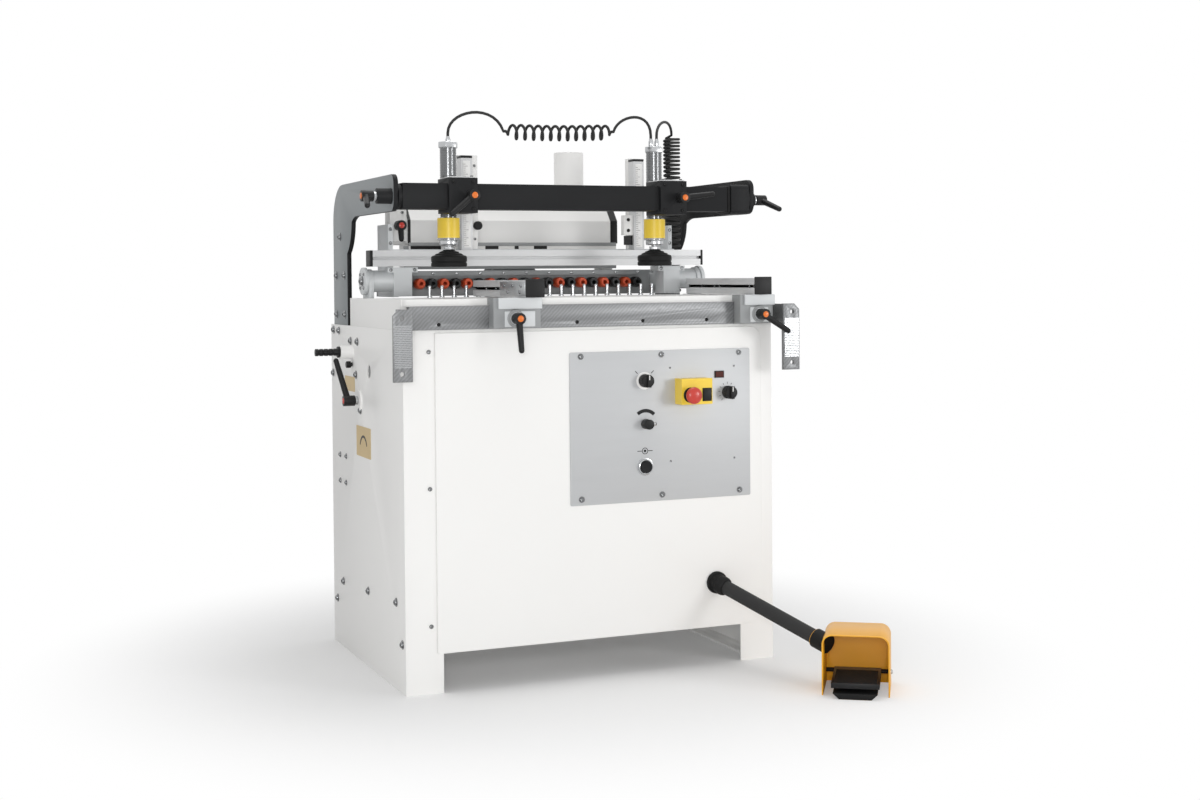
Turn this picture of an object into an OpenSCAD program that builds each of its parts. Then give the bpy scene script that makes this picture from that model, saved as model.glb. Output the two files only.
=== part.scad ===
// Line boring machine: a tilting row of spindles behind a table with fences and two pneumatic clamps.
// Millimetres. X runs along the spindle row, Y from the operator to the rear, Z upwards.
// The origin lies on the floor at the centre of the cabinet.

/* [Cabinet] */
// Room between the uprights of the head and a side panel
side_room = 77; // [65:1:150]
// Depth of the side panels
cabinet_d = 670; // [560:1:800]
// Height of the side panels
cabinet_h = 833; // [760:1:900]
// Thickness of the cabinet sheet
sheet = 4; // [2:0.5:6]
// Width of the front return flanges
flange_w = 90; // [40:1:120]
// Width of the foot flanges
foot_flange_w = 50; // [30:1:80]
// Radius of the floor fixing holes
anchor_r = 7; // [4:0.5:10]
// Distance of the floor fixing holes from the front and rear edges
anchor_inset = 45; // [25:1:90]
// Distance of the floor fixing holes from the side faces
anchor_side = 30; // [20:1:45]
// Radius of the access hole in the left panel
access_r = 16.5; // [8:0.5:25]

/* [Table] */
// Height of the table top above the cabinet
table_rise = 70; // [50:1:100]
// Thickness of the table plate
table_t = 16; // [8:1:24]
// Distance of the rear edge of the table from the tilt axis
table_gap = 30; // [28:1:130]
// Radius of the front corners
table_corner_r = 18; // [5:1:40]
// Radius of a stop pin
stop_r = 4.5; // [2:0.5:6]
// Height of a stop pin
stop_h = 30; // [10:1:40]

/* [Spindles] */
// Number of spindles
spindle_count = 21; // [3:2:21]
// Distance between spindle axes
pitch = 32; // [24:1:40]
// Distance of the spindle axes under the tilt axis
axis_drop = 8; // [0:1:12]
// Radius of a chuck
chuck_r = 14; // [10:0.5:15]
// Length of a chuck
chuck_l = 30; // [20:1:36]
// Radius of the bit bore in a chuck
bit_r = 5; // [3:0.5:6]
// Depth of the bit bore in a chuck
bit_depth = 25; // [15:1:28]
// Radius of a spindle shaft
shaft_r = 9; // [6:0.5:11]
// Teeth on a spindle gear
gear_teeth = 16; // [12:1:20]
// Width of a spindle gear
gear_w = 15; // [8:1:20]

/* [Head] */
// Distance of the tilt axis from the cabinet front
pivot_depth = 380; // [320:1:440]
// Height of the tilt axis above the table top
pivot_rise = 42; // [42:1:60]
// Radius of the tilt shafts
pivot_r = 17; // [12:0.5:20]
// Radius of the tilt discs
disc_r = 34; // [24:1:36]
// Distance of the chuck mouths behind the tilt axis
chuck_reach = 83; // [75:1:90]
// Outer radius of the dust spigot
spigot_r = 40; // [30:0.5:60]
// Wall of the dust spigot and the hood
hood_t = 3; // [2:0.5:5]
// Radius of the motor
motor_r = 60; // [40:1:70]

/* [Fences] */
// Size of the fence profiles
profile = 40; // [30:1:45]
// Width of the groove in a profile
groove_w = 8; // [5:0.5:12]
// Depth of the groove in a profile
groove_d = 10; // [4:0.5:14]
// Width of a rear fence column
column_w = 30; // [20:1:45]
// Height of a rear fence column
column_h = 232; // [120:1:300]
// Distance of the rear ends of the side fences from the tilt axis
side_fence_gap = 55; // [50:1:190]

/* [Clamps] */
// Size of the square clamp beam
beam = 60; // [40:1:80]
// Wall of the clamp beam
beam_wall = 4; // [2:0.5:8]
// Thickness of the arms
arm_t = 12; // [8:1:15]
// Width of a carriage
carriage_w = 70; // [50:1:90]
// Radius of a cylinder tube
tube_r = 20; // [12:0.5:25]
// Radius of a cylinder body
body_r = 27.5; // [20:0.5:32]
// Radius of a piston rod
rod_r = 8; // [5:0.5:10]
// Radius of a rubber foot
foot_r = 43; // [25:1:50]

/* [Controls] */
// Radius of the emergency stop head
stop_head_r = 20.5; // [12:0.5:24]
// Radius of the control knobs
knob_r = 15; // [10:0.5:22]
// Height of the control knobs
knob_h = 24; // [12:1:40]
// Length of the arm of a clamp lever
lever_l = 74; // [40:1:90]

/* [Pedal] */
// Width of the pedal guard
guard_w = 152; // [120:1:180]
// Depth of the pedal guard
guard_d = 145; // [120:1:240]
// Height of the pedal guard
guard_h = 138; // [110:1:200]
// Wall of the pedal guard
guard_t = 3; // [2:0.5:6]
// Turn of the pedal about the vertical
pedal_turn = -34; // [-90:1:90]

/* [Hoses] */
// Radius of the coiled air hoses
air_r = 3.5; // [2:0.5:4]
// Radius of the curls between the two cylinders, on the centre line
curl_r = 17; // [10:1:22]
// Radius of the curls of the supply hose, on the centre line
supply_curl_r = 20; // [12:1:22]
// Curls between the two cylinders
air_curls = 13; // [4:1:16]
// Curls of the supply hose
supply_curls = 34; // [8:1:36]
// Radius of the pedal hose
pedal_hose_r = 17; // [8:0.5:20]

/* [Fits] */
// Radial clearance of a running fit
running_fit = 0.05; // [0.01:0.01:0.1]
// Clearance of a loose fit
loose_fit = 0.3; // [0.3:0.05:0.6]

/* [Hidden] */
$fn = 64;
cut = 1;
quarter = 90;
full_turn = 360;
front_y = -cabinet_d / 2;

// Colours
white_paint = [0.93, 0.93, 0.91];
plate_blue = [0.70, 0.76, 0.80];
arm_grey = [0.56, 0.60, 0.60];
cast_grey = [0.72, 0.74, 0.74];
charcoal = [0.16, 0.17, 0.18];
black = [0.05, 0.05, 0.05];
steel = [0.66, 0.67, 0.68];
alloy = [0.78, 0.79, 0.80];
red = [0.80, 0.12, 0.06];
yellow = [0.95, 0.72, 0.08];

// Spindles and gear case, depths and heights counted from the tilt axis
axis_z = -axis_drop;
chuck_y = [chuck_reach, chuck_reach + chuck_l];
gear_gap = 1.5;
gear_module = pitch / gear_teeth;
dedendum_share = 1.3;
addendum_share = 0.85;
gear_root_r = pitch / 2 - dedendum_share * gear_module;
gear_tip_r = pitch / 2 + addendum_share * gear_module;
tooth_root_share = 0.875;
tooth_pitch_share = 0.64;
tooth_tip_share = 0.31;
tooth_foot_share = 0.9;
case_wall = 13;
case_end_wall = 6.3;
case_d = 67;
case_half = (spindle_count - 1) / 2 * pitch + gear_tip_r + gear_gap + case_end_wall;
case_y = [chuck_y[1] + loose_fit, chuck_y[1] + case_d];
case_z = [-40, 25];
case_cavity_half = 19;
gear_y0 = case_y[0] + case_wall + gear_gap;
shaft_gap = 2;
shaft_end = case_y[1] - shaft_gap;
drive_reach = 30;
drive_end = case_y[1] + drive_reach;
strip_lip = 3;
strip_inset = 15;
strip_h = 13;
strip_half = case_half - strip_inset;
strip_y0 = chuck_y[0] + strip_lip;
strip_z = [case_z[1] - strip_h, case_z[1]];
shoe_reach = 22.5;
feed_rail_t = 12;
feed_rail_x = [case_half + shoe_reach, case_half + shoe_reach + feed_rail_t];
feed_rail_y = [24, 186];
feed_rail_z = [-15, 15];
shoe_gap = 0.5;
upright_t = 12;
upright_x = [feed_rail_x[1], feed_rail_x[1] + upright_t];

// Cabinet places: depths counted from the cabinet front, heights from its top
panel_inner = upright_x[1] + side_room;
half_w = panel_inner + sheet;
header_h = 60;
foot_flange_t = 5;
rear_panel_z = [90, 600];
access_at = [296, -107];
guide_t = 13.7;
guide_half = 30;
guide_z = [-293, -3];
lever_boss_r = 27;
lever_boss_h = 5;
head_lever_at = [386, -183];
plunger_at = [455, -65];
plunger_boss_r = 17;
plunger_boss_h = 32;
plunger_r = 6;
supply_side = 49;
supply_depth = 455;
supply_at = [panel_inner - supply_side, supply_depth];
supply_shelf_w = 73;
supply_shelf_half = 30;
supply_shelf_z = [-21, -15];
supply_fitting_r = 9;
supply_fitting_z = 17;

// Front cover
cover_left = 75;
cover_right = 31;
cover_low = 91;
cover_top_gap = 7;
cover_x = [cover_left - half_w, half_w - cover_right];
cover_z = [cover_low, cabinet_h - cover_top_gap];
cover_t = 4;
cover_corner_r = 30;
gland_at = [315, 200];
gland_r = 23;
gland_flange_r = 27;
gland_flange_l = 8;
gland_l = 34;
gland_sink = 2;

// Table and rail, heights counted from the table top
table_top = cabinet_h + table_rise;
table_d = pivot_depth - table_gap;
apron_y = [10, 26];
wing_t = 16;
wing_reach = 90;
notch_x = 345;
notch_gap = 58;
pin_gap = 41;
rail_inset = 13;
rail_half = half_w - rail_inset;
rail_y = [-10, 10];
rail_hole_r = 5;
rail_hole_z = -58;
rail_hole_first = -390;
rail_hole_step = 170;
rail_holes = 5;
bracket_lap = 3;
bracket_w = 44;
bracket_x = [half_w - bracket_lap, half_w - bracket_lap + bracket_w];
bracket_y = [-70, -60];
bracket_z = [-183, -21];
bracket_arm_t = 10;
bracket_arm_end = 20;
bracket_arm_top = -22;
bracket_cut = 14;
bracket_hole_r = 5.5;
bracket_hole_z = [-41, -165];
bracket_hole_out = 21;

// Tilting frame and lift carriage, depths and heights counted from the tilt axis
pivot_z = table_top + pivot_rise;
upright_y = [19, 120];
upright_z = [-40, 142];
knuckle_l = 47;
knuckle_x = [upright_x[1] - knuckle_l, upright_x[1]];
knuckle_y = [-28, 24];
knuckle_z = [-38, 31];
tee_in = 62;
tee_out = 15;
tee_x = [upright_x[1] - tee_in, upright_x[1] + tee_out];
tee_z = [21, 34];
cross_y = [4, 22];
cross_z = [45, 79];
lift_t = 12;
lift_face = panel_inner - guide_t - loose_fit;
lift_plate_x = [lift_face - lift_t, lift_face];
lift_neck_half = 30;
lift_foot_half = 42;
lift_z = [-385, -147];
lift_bar_h = 36;
collar_r = 27;
disc_t = 9.4;
disc_face = lift_face + 2 * loose_fit;
disc_x = [disc_face, disc_face + disc_t];
lip_gap = 2;
lip_x1 = panel_inner - lip_gap;

// Hood and motor, depths and heights counted from the tilt axis
hood_x = [-322, 264];
hood_y = [90, 292];
hood_z = [95, 220];
hood_brow_z = 155;
hood_brow_y = 145;
leg_x = [[-319, -289], [231, 261]];
leg_y = [120, 175];
cheek_w = 44;
cheek_x = [hood_x[0] - cheek_w, hood_x[0]];
cheek_y = [95, 140];
cheek_z = [101, 185];
hood_lever_at = [-345, 141];
spigot_at = [172, 210];
spigot_top = 345;
motor_flange_r = 70;
motor_flange_l = 8;
motor_end = 288;
motor_hole_r = 14;
terminal_half = 35;
terminal_y = [210, 265];
terminal_z = 80;

// Rear fence, depths and heights counted from the tilt axis
bar_inset = 25;
bar_half = half_w - bar_inset;
bar_cap_t = 7;
bar_under = 36;
bar_y = [-profile, 0];
bar_z = [bar_under, bar_under + profile];
column_x = [-217, 257];
column_d = 35;
column_y = [bar_y[1] - column_d, bar_y[1]];
column_cap_h = 6;
post_x = [[-216, -162], [258, 300]];
post_y0 = bar_y[1] + loose_fit;
post_top = 317;

// Side fences, heights counted from the table top
side_profile_x = [-195, 398];
side_profile_face = -60;
side_profile_y = [side_profile_face, pivot_depth - side_fence_gap];
side_profile_gap = 2;
side_cap_t = 5;
side_cap_edge = 3;
casting_x = [[-270, -155], [365, 455]];
casting_face = -44;
casting_low = -68;
casting_y = [casting_face, rail_y[0] - loose_fit];
casting_z = [casting_low, side_profile_gap];
ledge_z0 = side_profile_gap - table_t;
ledge_y1 = -1;
side_lever_at = [[-217, -46], [416, -46]];
side_lever_turn = [-90, -35];

// Clamp arms, beam, carriages and cylinders, heights counted from the table top
arm_x = [panel_inner - arm_t, panel_inner];
arm_post_y = [511, 653];
arm_z = [-263, 290];
arm_limb_z = 204;
arm_tip_y = 76;
arm_tip_r = 24;
arm_corner_r = 95;
arm_inner_r = 97;
beam_at = [100, 239];
beam_gap = 9;
beam_half = arm_x[0] - beam_gap;
journal_r = 18;
journal_flange_r = 28;
journal_flange_x = arm_x[0] - loose_fit;
journal_reaches = [34, 8];
journal_ends = [for (reach = journal_reaches) arm_x[1] + reach];
beam_lever_turn = [250, 290];
beam_block_x = [398, beam_half];
beam_block_half = 37;
beam_block_r = 12;
carriage_at = [-306, 236];
carriage_y = [56, 144];
carriage_z = [200, 282];
holder_y1 = 204;
holder_z = [215, 269];
cylinder_y = 172;
tube_top = 359;
cap_r = 24;
cap_top = 374;
body_z = [139, 193];
collar_end_r = 22;
collar_z0 = 127;
rod_bore_top = 257;
rod_top = 237;
foot_z = [75, 101];
foot_cone_z = 116;
foot_neck_r = 14;
fitting_r = 6;
fitting_top = [387, 394];
fitting_offsets = [[0], [-8, 8]];
carriage_lever_at = [[-290, 240], [250, 240]];
carriage_lever_turn = [218, 7];

// Levers
stud_r = 5;
stud_l = 18;
lever_hub_r = 13;
lever_hub_h = 36;
lever_foot_r = 10;
lever_foot_h = 8;
lever_arm_r = 8;
lever_tip_r = 6.5;
lever_arm_at = 24;
lever_rise = 12;
head_lever_l = 105;
head_lever_turn = 17;
hood_lever_l = 36;

// Controls, heights counted from the cabinet top
control_x = [-69, 409];
control_z = [-423, -60];
control_t = 3;
control_front = -cover_t - control_t;
switch_x = [205, 287];
switch_z = [-191, -129];
switch_l = 38;
rocker_x = [262, 283];
rocker_z = [-182, -154];
rocker_l = 4;
display_x = [312, 337];
display_z = [-131, -114];
display_l = 3;
stop_at = [228, -168];
stop_stem_r = 13;
stop_travel = 5;
stop_gap = 14;
stop_head_l = 16;
knob_at = [[124, -132], [347, -167]];
knob_post_r = 4;
knob_post_l = 14;
knob_bar_w = 9;
knob_bar_l = 6;
regulator_at = [126, -236];
regulator_r = 12;
regulator_arm_l = 22;
regulator_arm_r = 4;
push_at = [124, -339];
push_ring_r = 19;
push_ring_l = 6;
push_r = 14.5;
push_out = 5;
push_tail = 1;
plunger_grip_r = 9;
plunger_flange_r = 14;
plunger_flange_l = 6;
plunger_grip_l = 62;
plunger_grooves = 4;
plunger_groove_w = 3;
plunger_groove_step = 12;
plunger_groove_d = 1.5;
plunger_tail = 40;

// Pedal and its hose, heights counted from the floor
pedal_at = [452, -423];
guard_corner_r = 24;
pedal_half = 54;
pedal_y = [-28, 132];
pedal_z = [24, 36];
pedal_axle_r = 5;
pedal_axle_at = [125, 30];
pedal_base_y = [-32, guard_d - guard_t / 2];
pedal_base_half = [36, 50];
pedal_base_h = 13;
hose_port_at = [70, 106];
hose_port_r = 22;
hose_port_l = 24;
hose_port_sink = 20;
hose_steps = 8;
hose_start = [gland_at[0], -cover_t, gland_at[1]];
hose_port = [-guard_w / 2, hose_port_at[0], hose_port_at[1]];
hose_end = [pedal_at[0], pedal_at[1], 0] + turned(hose_port, pedal_turn);
hose_way = unit(hose_end - hose_start);
hose_ends = [
    hose_start + (gland_l + running_fit) * hose_way,
    hose_end - (hose_port_l + running_fit) * hose_way
];
pedal_hose_route = [
    for (k = [0 : hose_steps]) hose_ends[0] + k / hose_steps * (hose_ends[1] - hose_ends[0])
];

// Air hoses, heights counted from the table top
tube_sides = 10;
coil_sides = 6;
curl_rings = 8;
lead_rings = 10;
lead_straight = 8;
blend_curls = 1.2;
loosening_share = 0.4;
air_sag = 4;
air_coil_ends = [[-165, 172, 403], [126, 172, 409]];
air_lead_left = [[-306, 172, 395], [-306, 172, 450], [-190, 172, 474], air_coil_ends[0]];
air_lead_right = [air_coil_ends[1], [138, 172, 452], [228, 172, 470], [228, 172, 402]];
supply_coil_z = [431, -41];
supply_crest_z = 482;
supply_coil_ends = [for (z = supply_coil_z) [supply_at[0], supply_at[1], z]];
supply_crest = [supply_at[0], supply_at[1], supply_crest_z];
supply_lead = [[244, 172, 402], [244, 172, 445], supply_crest, supply_coil_ends[0]];

// Names of the sub-parts
function spindle_name(i) = str("spindle_", i < 9 ? "0" : "", i + 1);
spindle_names = [for (i = [0 : spindle_count - 1]) spindle_name(i)];
sides = ["left", "right"];

// Helpers
module from_front() translate([0, front_y, 0]) children();
module at_top() translate([0, 0, cabinet_h]) children();
module on_panel() from_front() at_top() children();
module on_table() from_front() translate([0, 0, table_top]) children();
module at_pivot() from_front() translate([0, pivot_depth, pivot_z]) children();
module block(x, y, z) translate([x[0], y[0], z[0]]) cube([x[1] - x[0], y[1] - y[0], z[1] - z[0]]);
module rod_x(x, at, r) translate([x[0], at[0], at[1]])
    rotate([0, quarter, 0]) cylinder(r = r, h = x[1] - x[0]);
module rod_y(y, at, r) translate([at[0], y[0], at[1]])
    rotate([-quarter, 0, 0]) cylinder(r = r, h = y[1] - y[0]);
module rod_z(z, at, r) translate([at[0], at[1], z[0]]) cylinder(r = r, h = z[1] - z[0]);
module toward(way) rotate([0, acos(way[2]), atan2(way[1], way[0])]) children();
module facing_front() rotate([quarter, 0, 0]) children();
module facing_left() rotate([0, -quarter, 0]) children();
module facing_right() rotate([0, quarter, 0]) children();
module both_sides() {
    children();
    mirror([1, 0, 0]) children();
}
// Plate across X from an outline drawn in Y and Z
module side_plate(x) translate([x[0], 0, 0])
    rotate([quarter, 0, quarter]) linear_extrude(x[1] - x[0]) children();
// Plate across Y from an outline drawn in X and Z
module front_plate(y) translate([0, y[1], 0])
    rotate([quarter, 0, 0]) linear_extrude(y[1] - y[0]) children();
module rectangle(x, y) translate([x[0], y[0]]) square([x[1] - x[0], y[1] - y[0]]);
module round_corners(x, y, r, corners) {
    rectangle([x[0] + r, x[1] - r], y);
    rectangle(x, [y[0] + r, y[1] - r]);
    for (i = [0, 1], j = [0, 1]) {
        centre = [i == 0 ? x[0] + r : x[1] - r, j == 0 ? y[0] + r : y[1] - r];
        translate(centre) circle(r = r);
        if (!corners[i][j]) rectangle(
            [min(centre[0], x[i]), max(centre[0], x[i])],
            [min(centre[1], y[j]), max(centre[1], y[j])]
        );
    }
}

function spindle_x(i) = (i - (spindle_count - 1) / 2) * pitch;
function bezier(p, t) =
    (1 - t) ^ 3 * p[0] + 3 * (1 - t) ^ 2 * t * p[1] + 3 * (1 - t) * t ^ 2 * p[2] + t ^ 3 * p[3];
function lead(p) = [for (k = [0 : lead_rings]) bezier(p, k / lead_rings)];
function turned(p, a) = [p[0] * cos(a) - p[1] * sin(a), p[0] * sin(a) + p[1] * cos(a), p[2]];
function eased(u) = u * u * (3 - 2 * u);
function curl_share(curl, curls) = eased(min(1, curl / blend_curls, (curls - curl) / blend_curls));
function inner(points) = [for (i = [1 : len(points) - 2]) points[i]];

// Tube swept along points: each ring carries the normal of the ring before it
function unit(v) = v / norm(v);
function tangent(p, i) = unit(p[min(i + 1, len(p) - 1)] - p[max(i - 1, 0)]);
function carried(n, t) = unit(n - (n * t) * t);
function ring_normals(p, first) = [
    for (i = 0, n = carried(first, tangent(p, 0));
         i < len(p);
         i = i + 1, n = i < len(p) ? carried(n, tangent(p, i)) : n) n
];
function ring(p, n, t, r, sides) = [
    for (k = [0 : sides - 1])
        let (a = full_turn * k / sides) p + r * (cos(a) * n + sin(a) * cross(t, n))
];
module tube(p, first, r, sides) {
    normals = ring_normals(p, first);
    last = len(p) - 1;
    points = [for (i = [0 : last]) each ring(p[i], normals[i], tangent(p, i), r, sides)];
    walls = [
        for (i = [0 : last - 1], k = [0 : sides - 1])
            let (a = i * sides + k, b = i * sides + (k + 1) % sides)
                each [[a, b + sides, b], [a, a + sides, b + sides]]
    ];
    start = [for (k = [1 : sides - 2]) [0, k, k + 1]];
    end = [for (k = [1 : sides - 2]) [last * sides, last * sides + k + 1, last * sides + k]];
    polyhedron(points = points, faces = concat(walls, start, end));
}
// Least gap of a curly tube to itself, from points half a curl or more apart
function self_gap(p, r) = min([
    for (i = [0 : len(p) - 1], j = [i + curl_rings / 2 : 1 : len(p) - 1]) norm(p[i] - p[j])
]) - 2 * r;

// Clamp lever standing along Z with its arm along X
module lever(length) difference() {
    union() {
        cylinder(r = lever_foot_r, h = lever_foot_h + cut);
        translate([0, 0, lever_foot_h]) cylinder(r = lever_hub_r, h = lever_hub_h - lever_foot_h);
        translate([0, 0, lever_arm_at]) rotate([0, quarter - lever_rise, 0]) {
            cylinder(r1 = lever_arm_r, r2 = lever_tip_r, h = length);
            translate([0, 0, length]) sphere(r = lever_tip_r);
        }
    }
    translate([0, 0, -cut]) cylinder(r = stud_r + loose_fit, h = stud_l + loose_fit + cut);
}

module panel_and_feet() {
    block([panel_inner, half_w], [0, cabinet_d], [0, cabinet_h]);
    block([half_w - flange_w, half_w], [0, sheet], [0, cabinet_h]);
    block([half_w - flange_w, half_w], [cabinet_d - sheet, cabinet_d], [0, rear_panel_z[1]]);
    block(
        [panel_inner - guide_t, half_w - sheet / 2],
        [pivot_depth - guide_half, pivot_depth + guide_half],
        [cabinet_h + guide_z[0], cabinet_h + guide_z[1]]
    );
    difference() {
        block([panel_inner - foot_flange_w, half_w], [0, cabinet_d], [0, foot_flange_t]);
        for (y = [anchor_inset, cabinet_d - anchor_inset])
            rod_z([-cut, foot_flange_t + cut], [half_w - anchor_side, y], anchor_r);
    }
}

module cabinet() color(white_paint) from_front() {
    difference() {
        union() {
            both_sides() panel_and_feet();
            block([-half_w, half_w], [0, sheet], [cabinet_h - header_h, cabinet_h]);
            block([-half_w, half_w], [cabinet_d - sheet, cabinet_d], rear_panel_z);
            at_top() {
                rod_x([-half_w - lever_boss_h, -panel_inner], head_lever_at, lever_boss_r);
                rod_x([-half_w - plunger_boss_h, -panel_inner], plunger_at, plunger_boss_r);
            }
        }
        at_top() {
            rod_x([-half_w - cut, -panel_inner + cut], access_at, access_r);
            rod_x([-half_w - plunger_boss_h - cut, -panel_inner + cut], plunger_at, plunger_r + running_fit);
        }
    }
    at_top() {
        rod_x([-half_w - lever_boss_h - stud_l, -panel_inner], head_lever_at, stud_r);
        block(
            [panel_inner - supply_shelf_w, panel_inner],
            [supply_at[1] - supply_shelf_half, supply_at[1] + supply_shelf_half],
            supply_shelf_z
        );
        rod_z([supply_shelf_z[0], supply_fitting_z], supply_at, supply_fitting_r);
    }
}

module front_cover() color(white_paint) from_front() {
    front_plate([-cover_t, 0])
        round_corners(cover_x, cover_z, cover_corner_r, [[false, false], [true, true]]);
    rod_y([-cover_t - gland_flange_l, -cover_t / 2], gland_at, gland_flange_r);
    translate(hose_start) toward(hose_way)
        translate([0, 0, -gland_sink]) cylinder(r = gland_r, h = gland_l + gland_sink);
}

module control_plate() color(plate_blue) on_panel() {
    difference() {
        union() {
            block(control_x, [control_front, -cover_t], control_z);
            block(switch_x, [control_front - switch_l, -cover_t], switch_z);
            block(rocker_x, [control_front - switch_l - rocker_l, -cover_t], rocker_z);
            block(display_x, [control_front - display_l, -cover_t], display_z);
            rod_y([control_front - push_ring_l, -cover_t], push_at, push_ring_r);
            for (at = concat(knob_at, [regulator_at]))
                rod_y([control_front - knob_post_l, -cover_t], at, knob_post_r);
        }
        rod_y(
            [control_front - switch_l - cut, control_front - switch_l + stop_gap + 2 * stop_travel],
            stop_at, stop_stem_r + loose_fit
        );
        rod_y([control_front - push_ring_l - cut, -cover_t - loose_fit], push_at, push_r + loose_fit);
    }
}

module table() color(white_paint) on_table() {
    translate([0, 0, -table_t]) linear_extrude(table_t) {
        difference() {
            round_corners([-half_w, half_w], [0, table_d], table_corner_r, [[true, false], [true, false]]);
            for (x = [[-half_w - cut, -notch_x], [notch_x, half_w + cut]])
                rectangle(x, [pivot_depth - notch_gap, table_d + cut]);
        }
    }
    both_sides() block([half_w - wing_t, half_w], [apron_y[0], pivot_depth + wing_reach], [-table_rise, 0]);
    block([-half_w, half_w], apron_y, [-table_rise, cut - table_t]);
    for (i = [0 : spindle_count - 2])
        rod_z([-table_t, stop_h], [spindle_x(i) + pitch / 2, pivot_depth - pin_gap], stop_r);
}

module drop_bracket() {
    difference() {
        front_plate(bracket_y) polygon([
            [bracket_x[0], bracket_z[0]],
            [bracket_x[1], bracket_z[0]],
            [bracket_x[1], bracket_z[1] - bracket_cut],
            [bracket_x[1] - bracket_cut, bracket_z[1]],
            [bracket_x[0], bracket_z[1]]
        ]);
        for (z = bracket_hole_z)
            rod_y([bracket_y[0] - cut, bracket_y[1] + cut], [half_w + bracket_hole_out, z], bracket_hole_r);
    }
    block([half_w, half_w + bracket_arm_t], [bracket_y[0], bracket_arm_end], [-table_rise, bracket_arm_top]);
}

module front_rail() color(steel) on_table() {
    difference() {
        block([-rail_half, rail_half], rail_y, [-table_rise, -table_t]);
        for (i = [0 : rail_holes - 1]) {
            x = rail_hole_first + i * rail_hole_step;
            rod_y([rail_y[0] - cut, rail_y[1] + cut], [x, rail_hole_z], rail_hole_r);
        }
    }
    both_sides() drop_bracket();
}

module clamp_arm() difference() {
    side_plate(arm_x) {
        rectangle(arm_post_y, [arm_z[0], arm_z[1] - arm_corner_r]);
        rectangle([arm_tip_y + arm_tip_r, arm_post_y[1] - arm_corner_r], [arm_limb_z, arm_z[1]]);
        rectangle([arm_tip_y, arm_post_y[0]], [arm_limb_z + arm_tip_r, arm_z[1] - arm_tip_r]);
        for (z = [arm_limb_z + arm_tip_r, arm_z[1] - arm_tip_r])
            translate([arm_tip_y + arm_tip_r, z]) circle(r = arm_tip_r);
        translate([arm_post_y[1] - arm_corner_r, arm_z[1] - arm_corner_r]) circle(r = arm_corner_r);
        difference() {
            rectangle(
                [arm_post_y[0] - arm_inner_r, arm_post_y[0]],
                [arm_limb_z - arm_inner_r, arm_limb_z]
            );
            translate([arm_post_y[0] - arm_inner_r, arm_limb_z - arm_inner_r]) circle(r = arm_inner_r);
        }
    }
    rod_x([arm_x[0] - cut, arm_x[1] + cut], beam_at, journal_r + running_fit);
}

module clamp_arms() color(arm_grey) on_table() both_sides() clamp_arm();

module clamp_beam() color(charcoal) on_table() {
    y = [beam_at[0] - beam / 2, beam_at[0] + beam / 2];
    z = [beam_at[1] - beam / 2, beam_at[1] + beam / 2];
    difference() {
        block([-beam_half, beam_half], y, z);
        block(
            [-beam_half + journal_r, beam_half - journal_r],
            [y[0] + beam_wall, y[1] - beam_wall],
            [z[0] + beam_wall, z[1] - beam_wall]
        );
    }
    side_plate(beam_block_x) round_corners(
        [beam_at[0] - beam_block_half, beam_at[0] + beam_block_half],
        [beam_at[1] - beam_block_half, beam_at[1] + beam_block_half],
        beam_block_r, [[true, true], [true, true]]
    );
    both_sides() rod_x([beam_half - cut, journal_flange_x], beam_at, journal_flange_r);
    rod_x([-journal_ends[0], -beam_half + cut], beam_at, journal_r);
    rod_x([beam_half - cut, journal_ends[1]], beam_at, journal_r);
    rod_x([-journal_ends[0] - stud_l, -beam_half + cut], beam_at, stud_r);
    rod_x([beam_half - cut, journal_ends[1] + stud_l], beam_at, stud_r);
}

module beam_levers() color(black) on_table() {
    translate([-journal_ends[0] - loose_fit, beam_at[0], beam_at[1]])
        facing_left() rotate(beam_lever_turn[0]) lever(lever_l);
    translate([journal_ends[1] + loose_fit, beam_at[0], beam_at[1]])
        facing_right() rotate(beam_lever_turn[1]) lever(lever_l);
}

module carriage(i) color(charcoal) on_table() {
    x = [carriage_at[i] - carriage_w / 2, carriage_at[i] + carriage_w / 2];
    hole = beam / 2 + loose_fit;
    difference() {
        union() {
            block(x, carriage_y, carriage_z);
            block(x, [carriage_y[1] - cut, holder_y1], holder_z);
        }
        block(
            [x[0] - cut, x[1] + cut],
            [beam_at[0] - hole, beam_at[0] + hole],
            [beam_at[1] - hole, beam_at[1] + hole]
        );
        rod_z([holder_z[0] - cut, holder_z[1] + cut], [carriage_at[i], cylinder_y], tube_r + loose_fit);
    }
    rod_y([carriage_y[0] - stud_l, carriage_y[0] + cut], carriage_lever_at[i], stud_r);
}

module carriage_lever(i) color(black) on_table()
    translate([carriage_lever_at[i][0], carriage_y[0] - loose_fit, carriage_lever_at[i][1]])
        facing_front() rotate(carriage_lever_turn[i]) lever(lever_l);

module clamp_cylinder(i) color(yellow) on_table() {
    at = [carriage_at[i], cylinder_y];
    difference() {
        union() {
            rod_z([body_z[0], tube_top], at, tube_r);
            rod_z(body_z, at, body_r);
            rod_z([collar_z0, body_z[0] + cut], at, collar_end_r);
            rod_z([tube_top - cut, cap_top], at, cap_r);
            for (offset = fitting_offsets[i])
                rod_z([cap_top - cut, fitting_top[i]], [at[0] + offset, at[1]], fitting_r);
        }
        rod_z([collar_z0 - cut, rod_bore_top], at, rod_r + running_fit);
    }
}

module clamp_foot(i) color(black) on_table() {
    at = [carriage_at[i], cylinder_y];
    rod_z(foot_z, at, foot_r);
    translate([at[0], at[1], foot_z[1]]) cylinder(r1 = foot_r, r2 = foot_neck_r, h = foot_cone_z - foot_z[1]);
    rod_z([foot_z[1], rod_top], at, rod_r);
}

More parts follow.
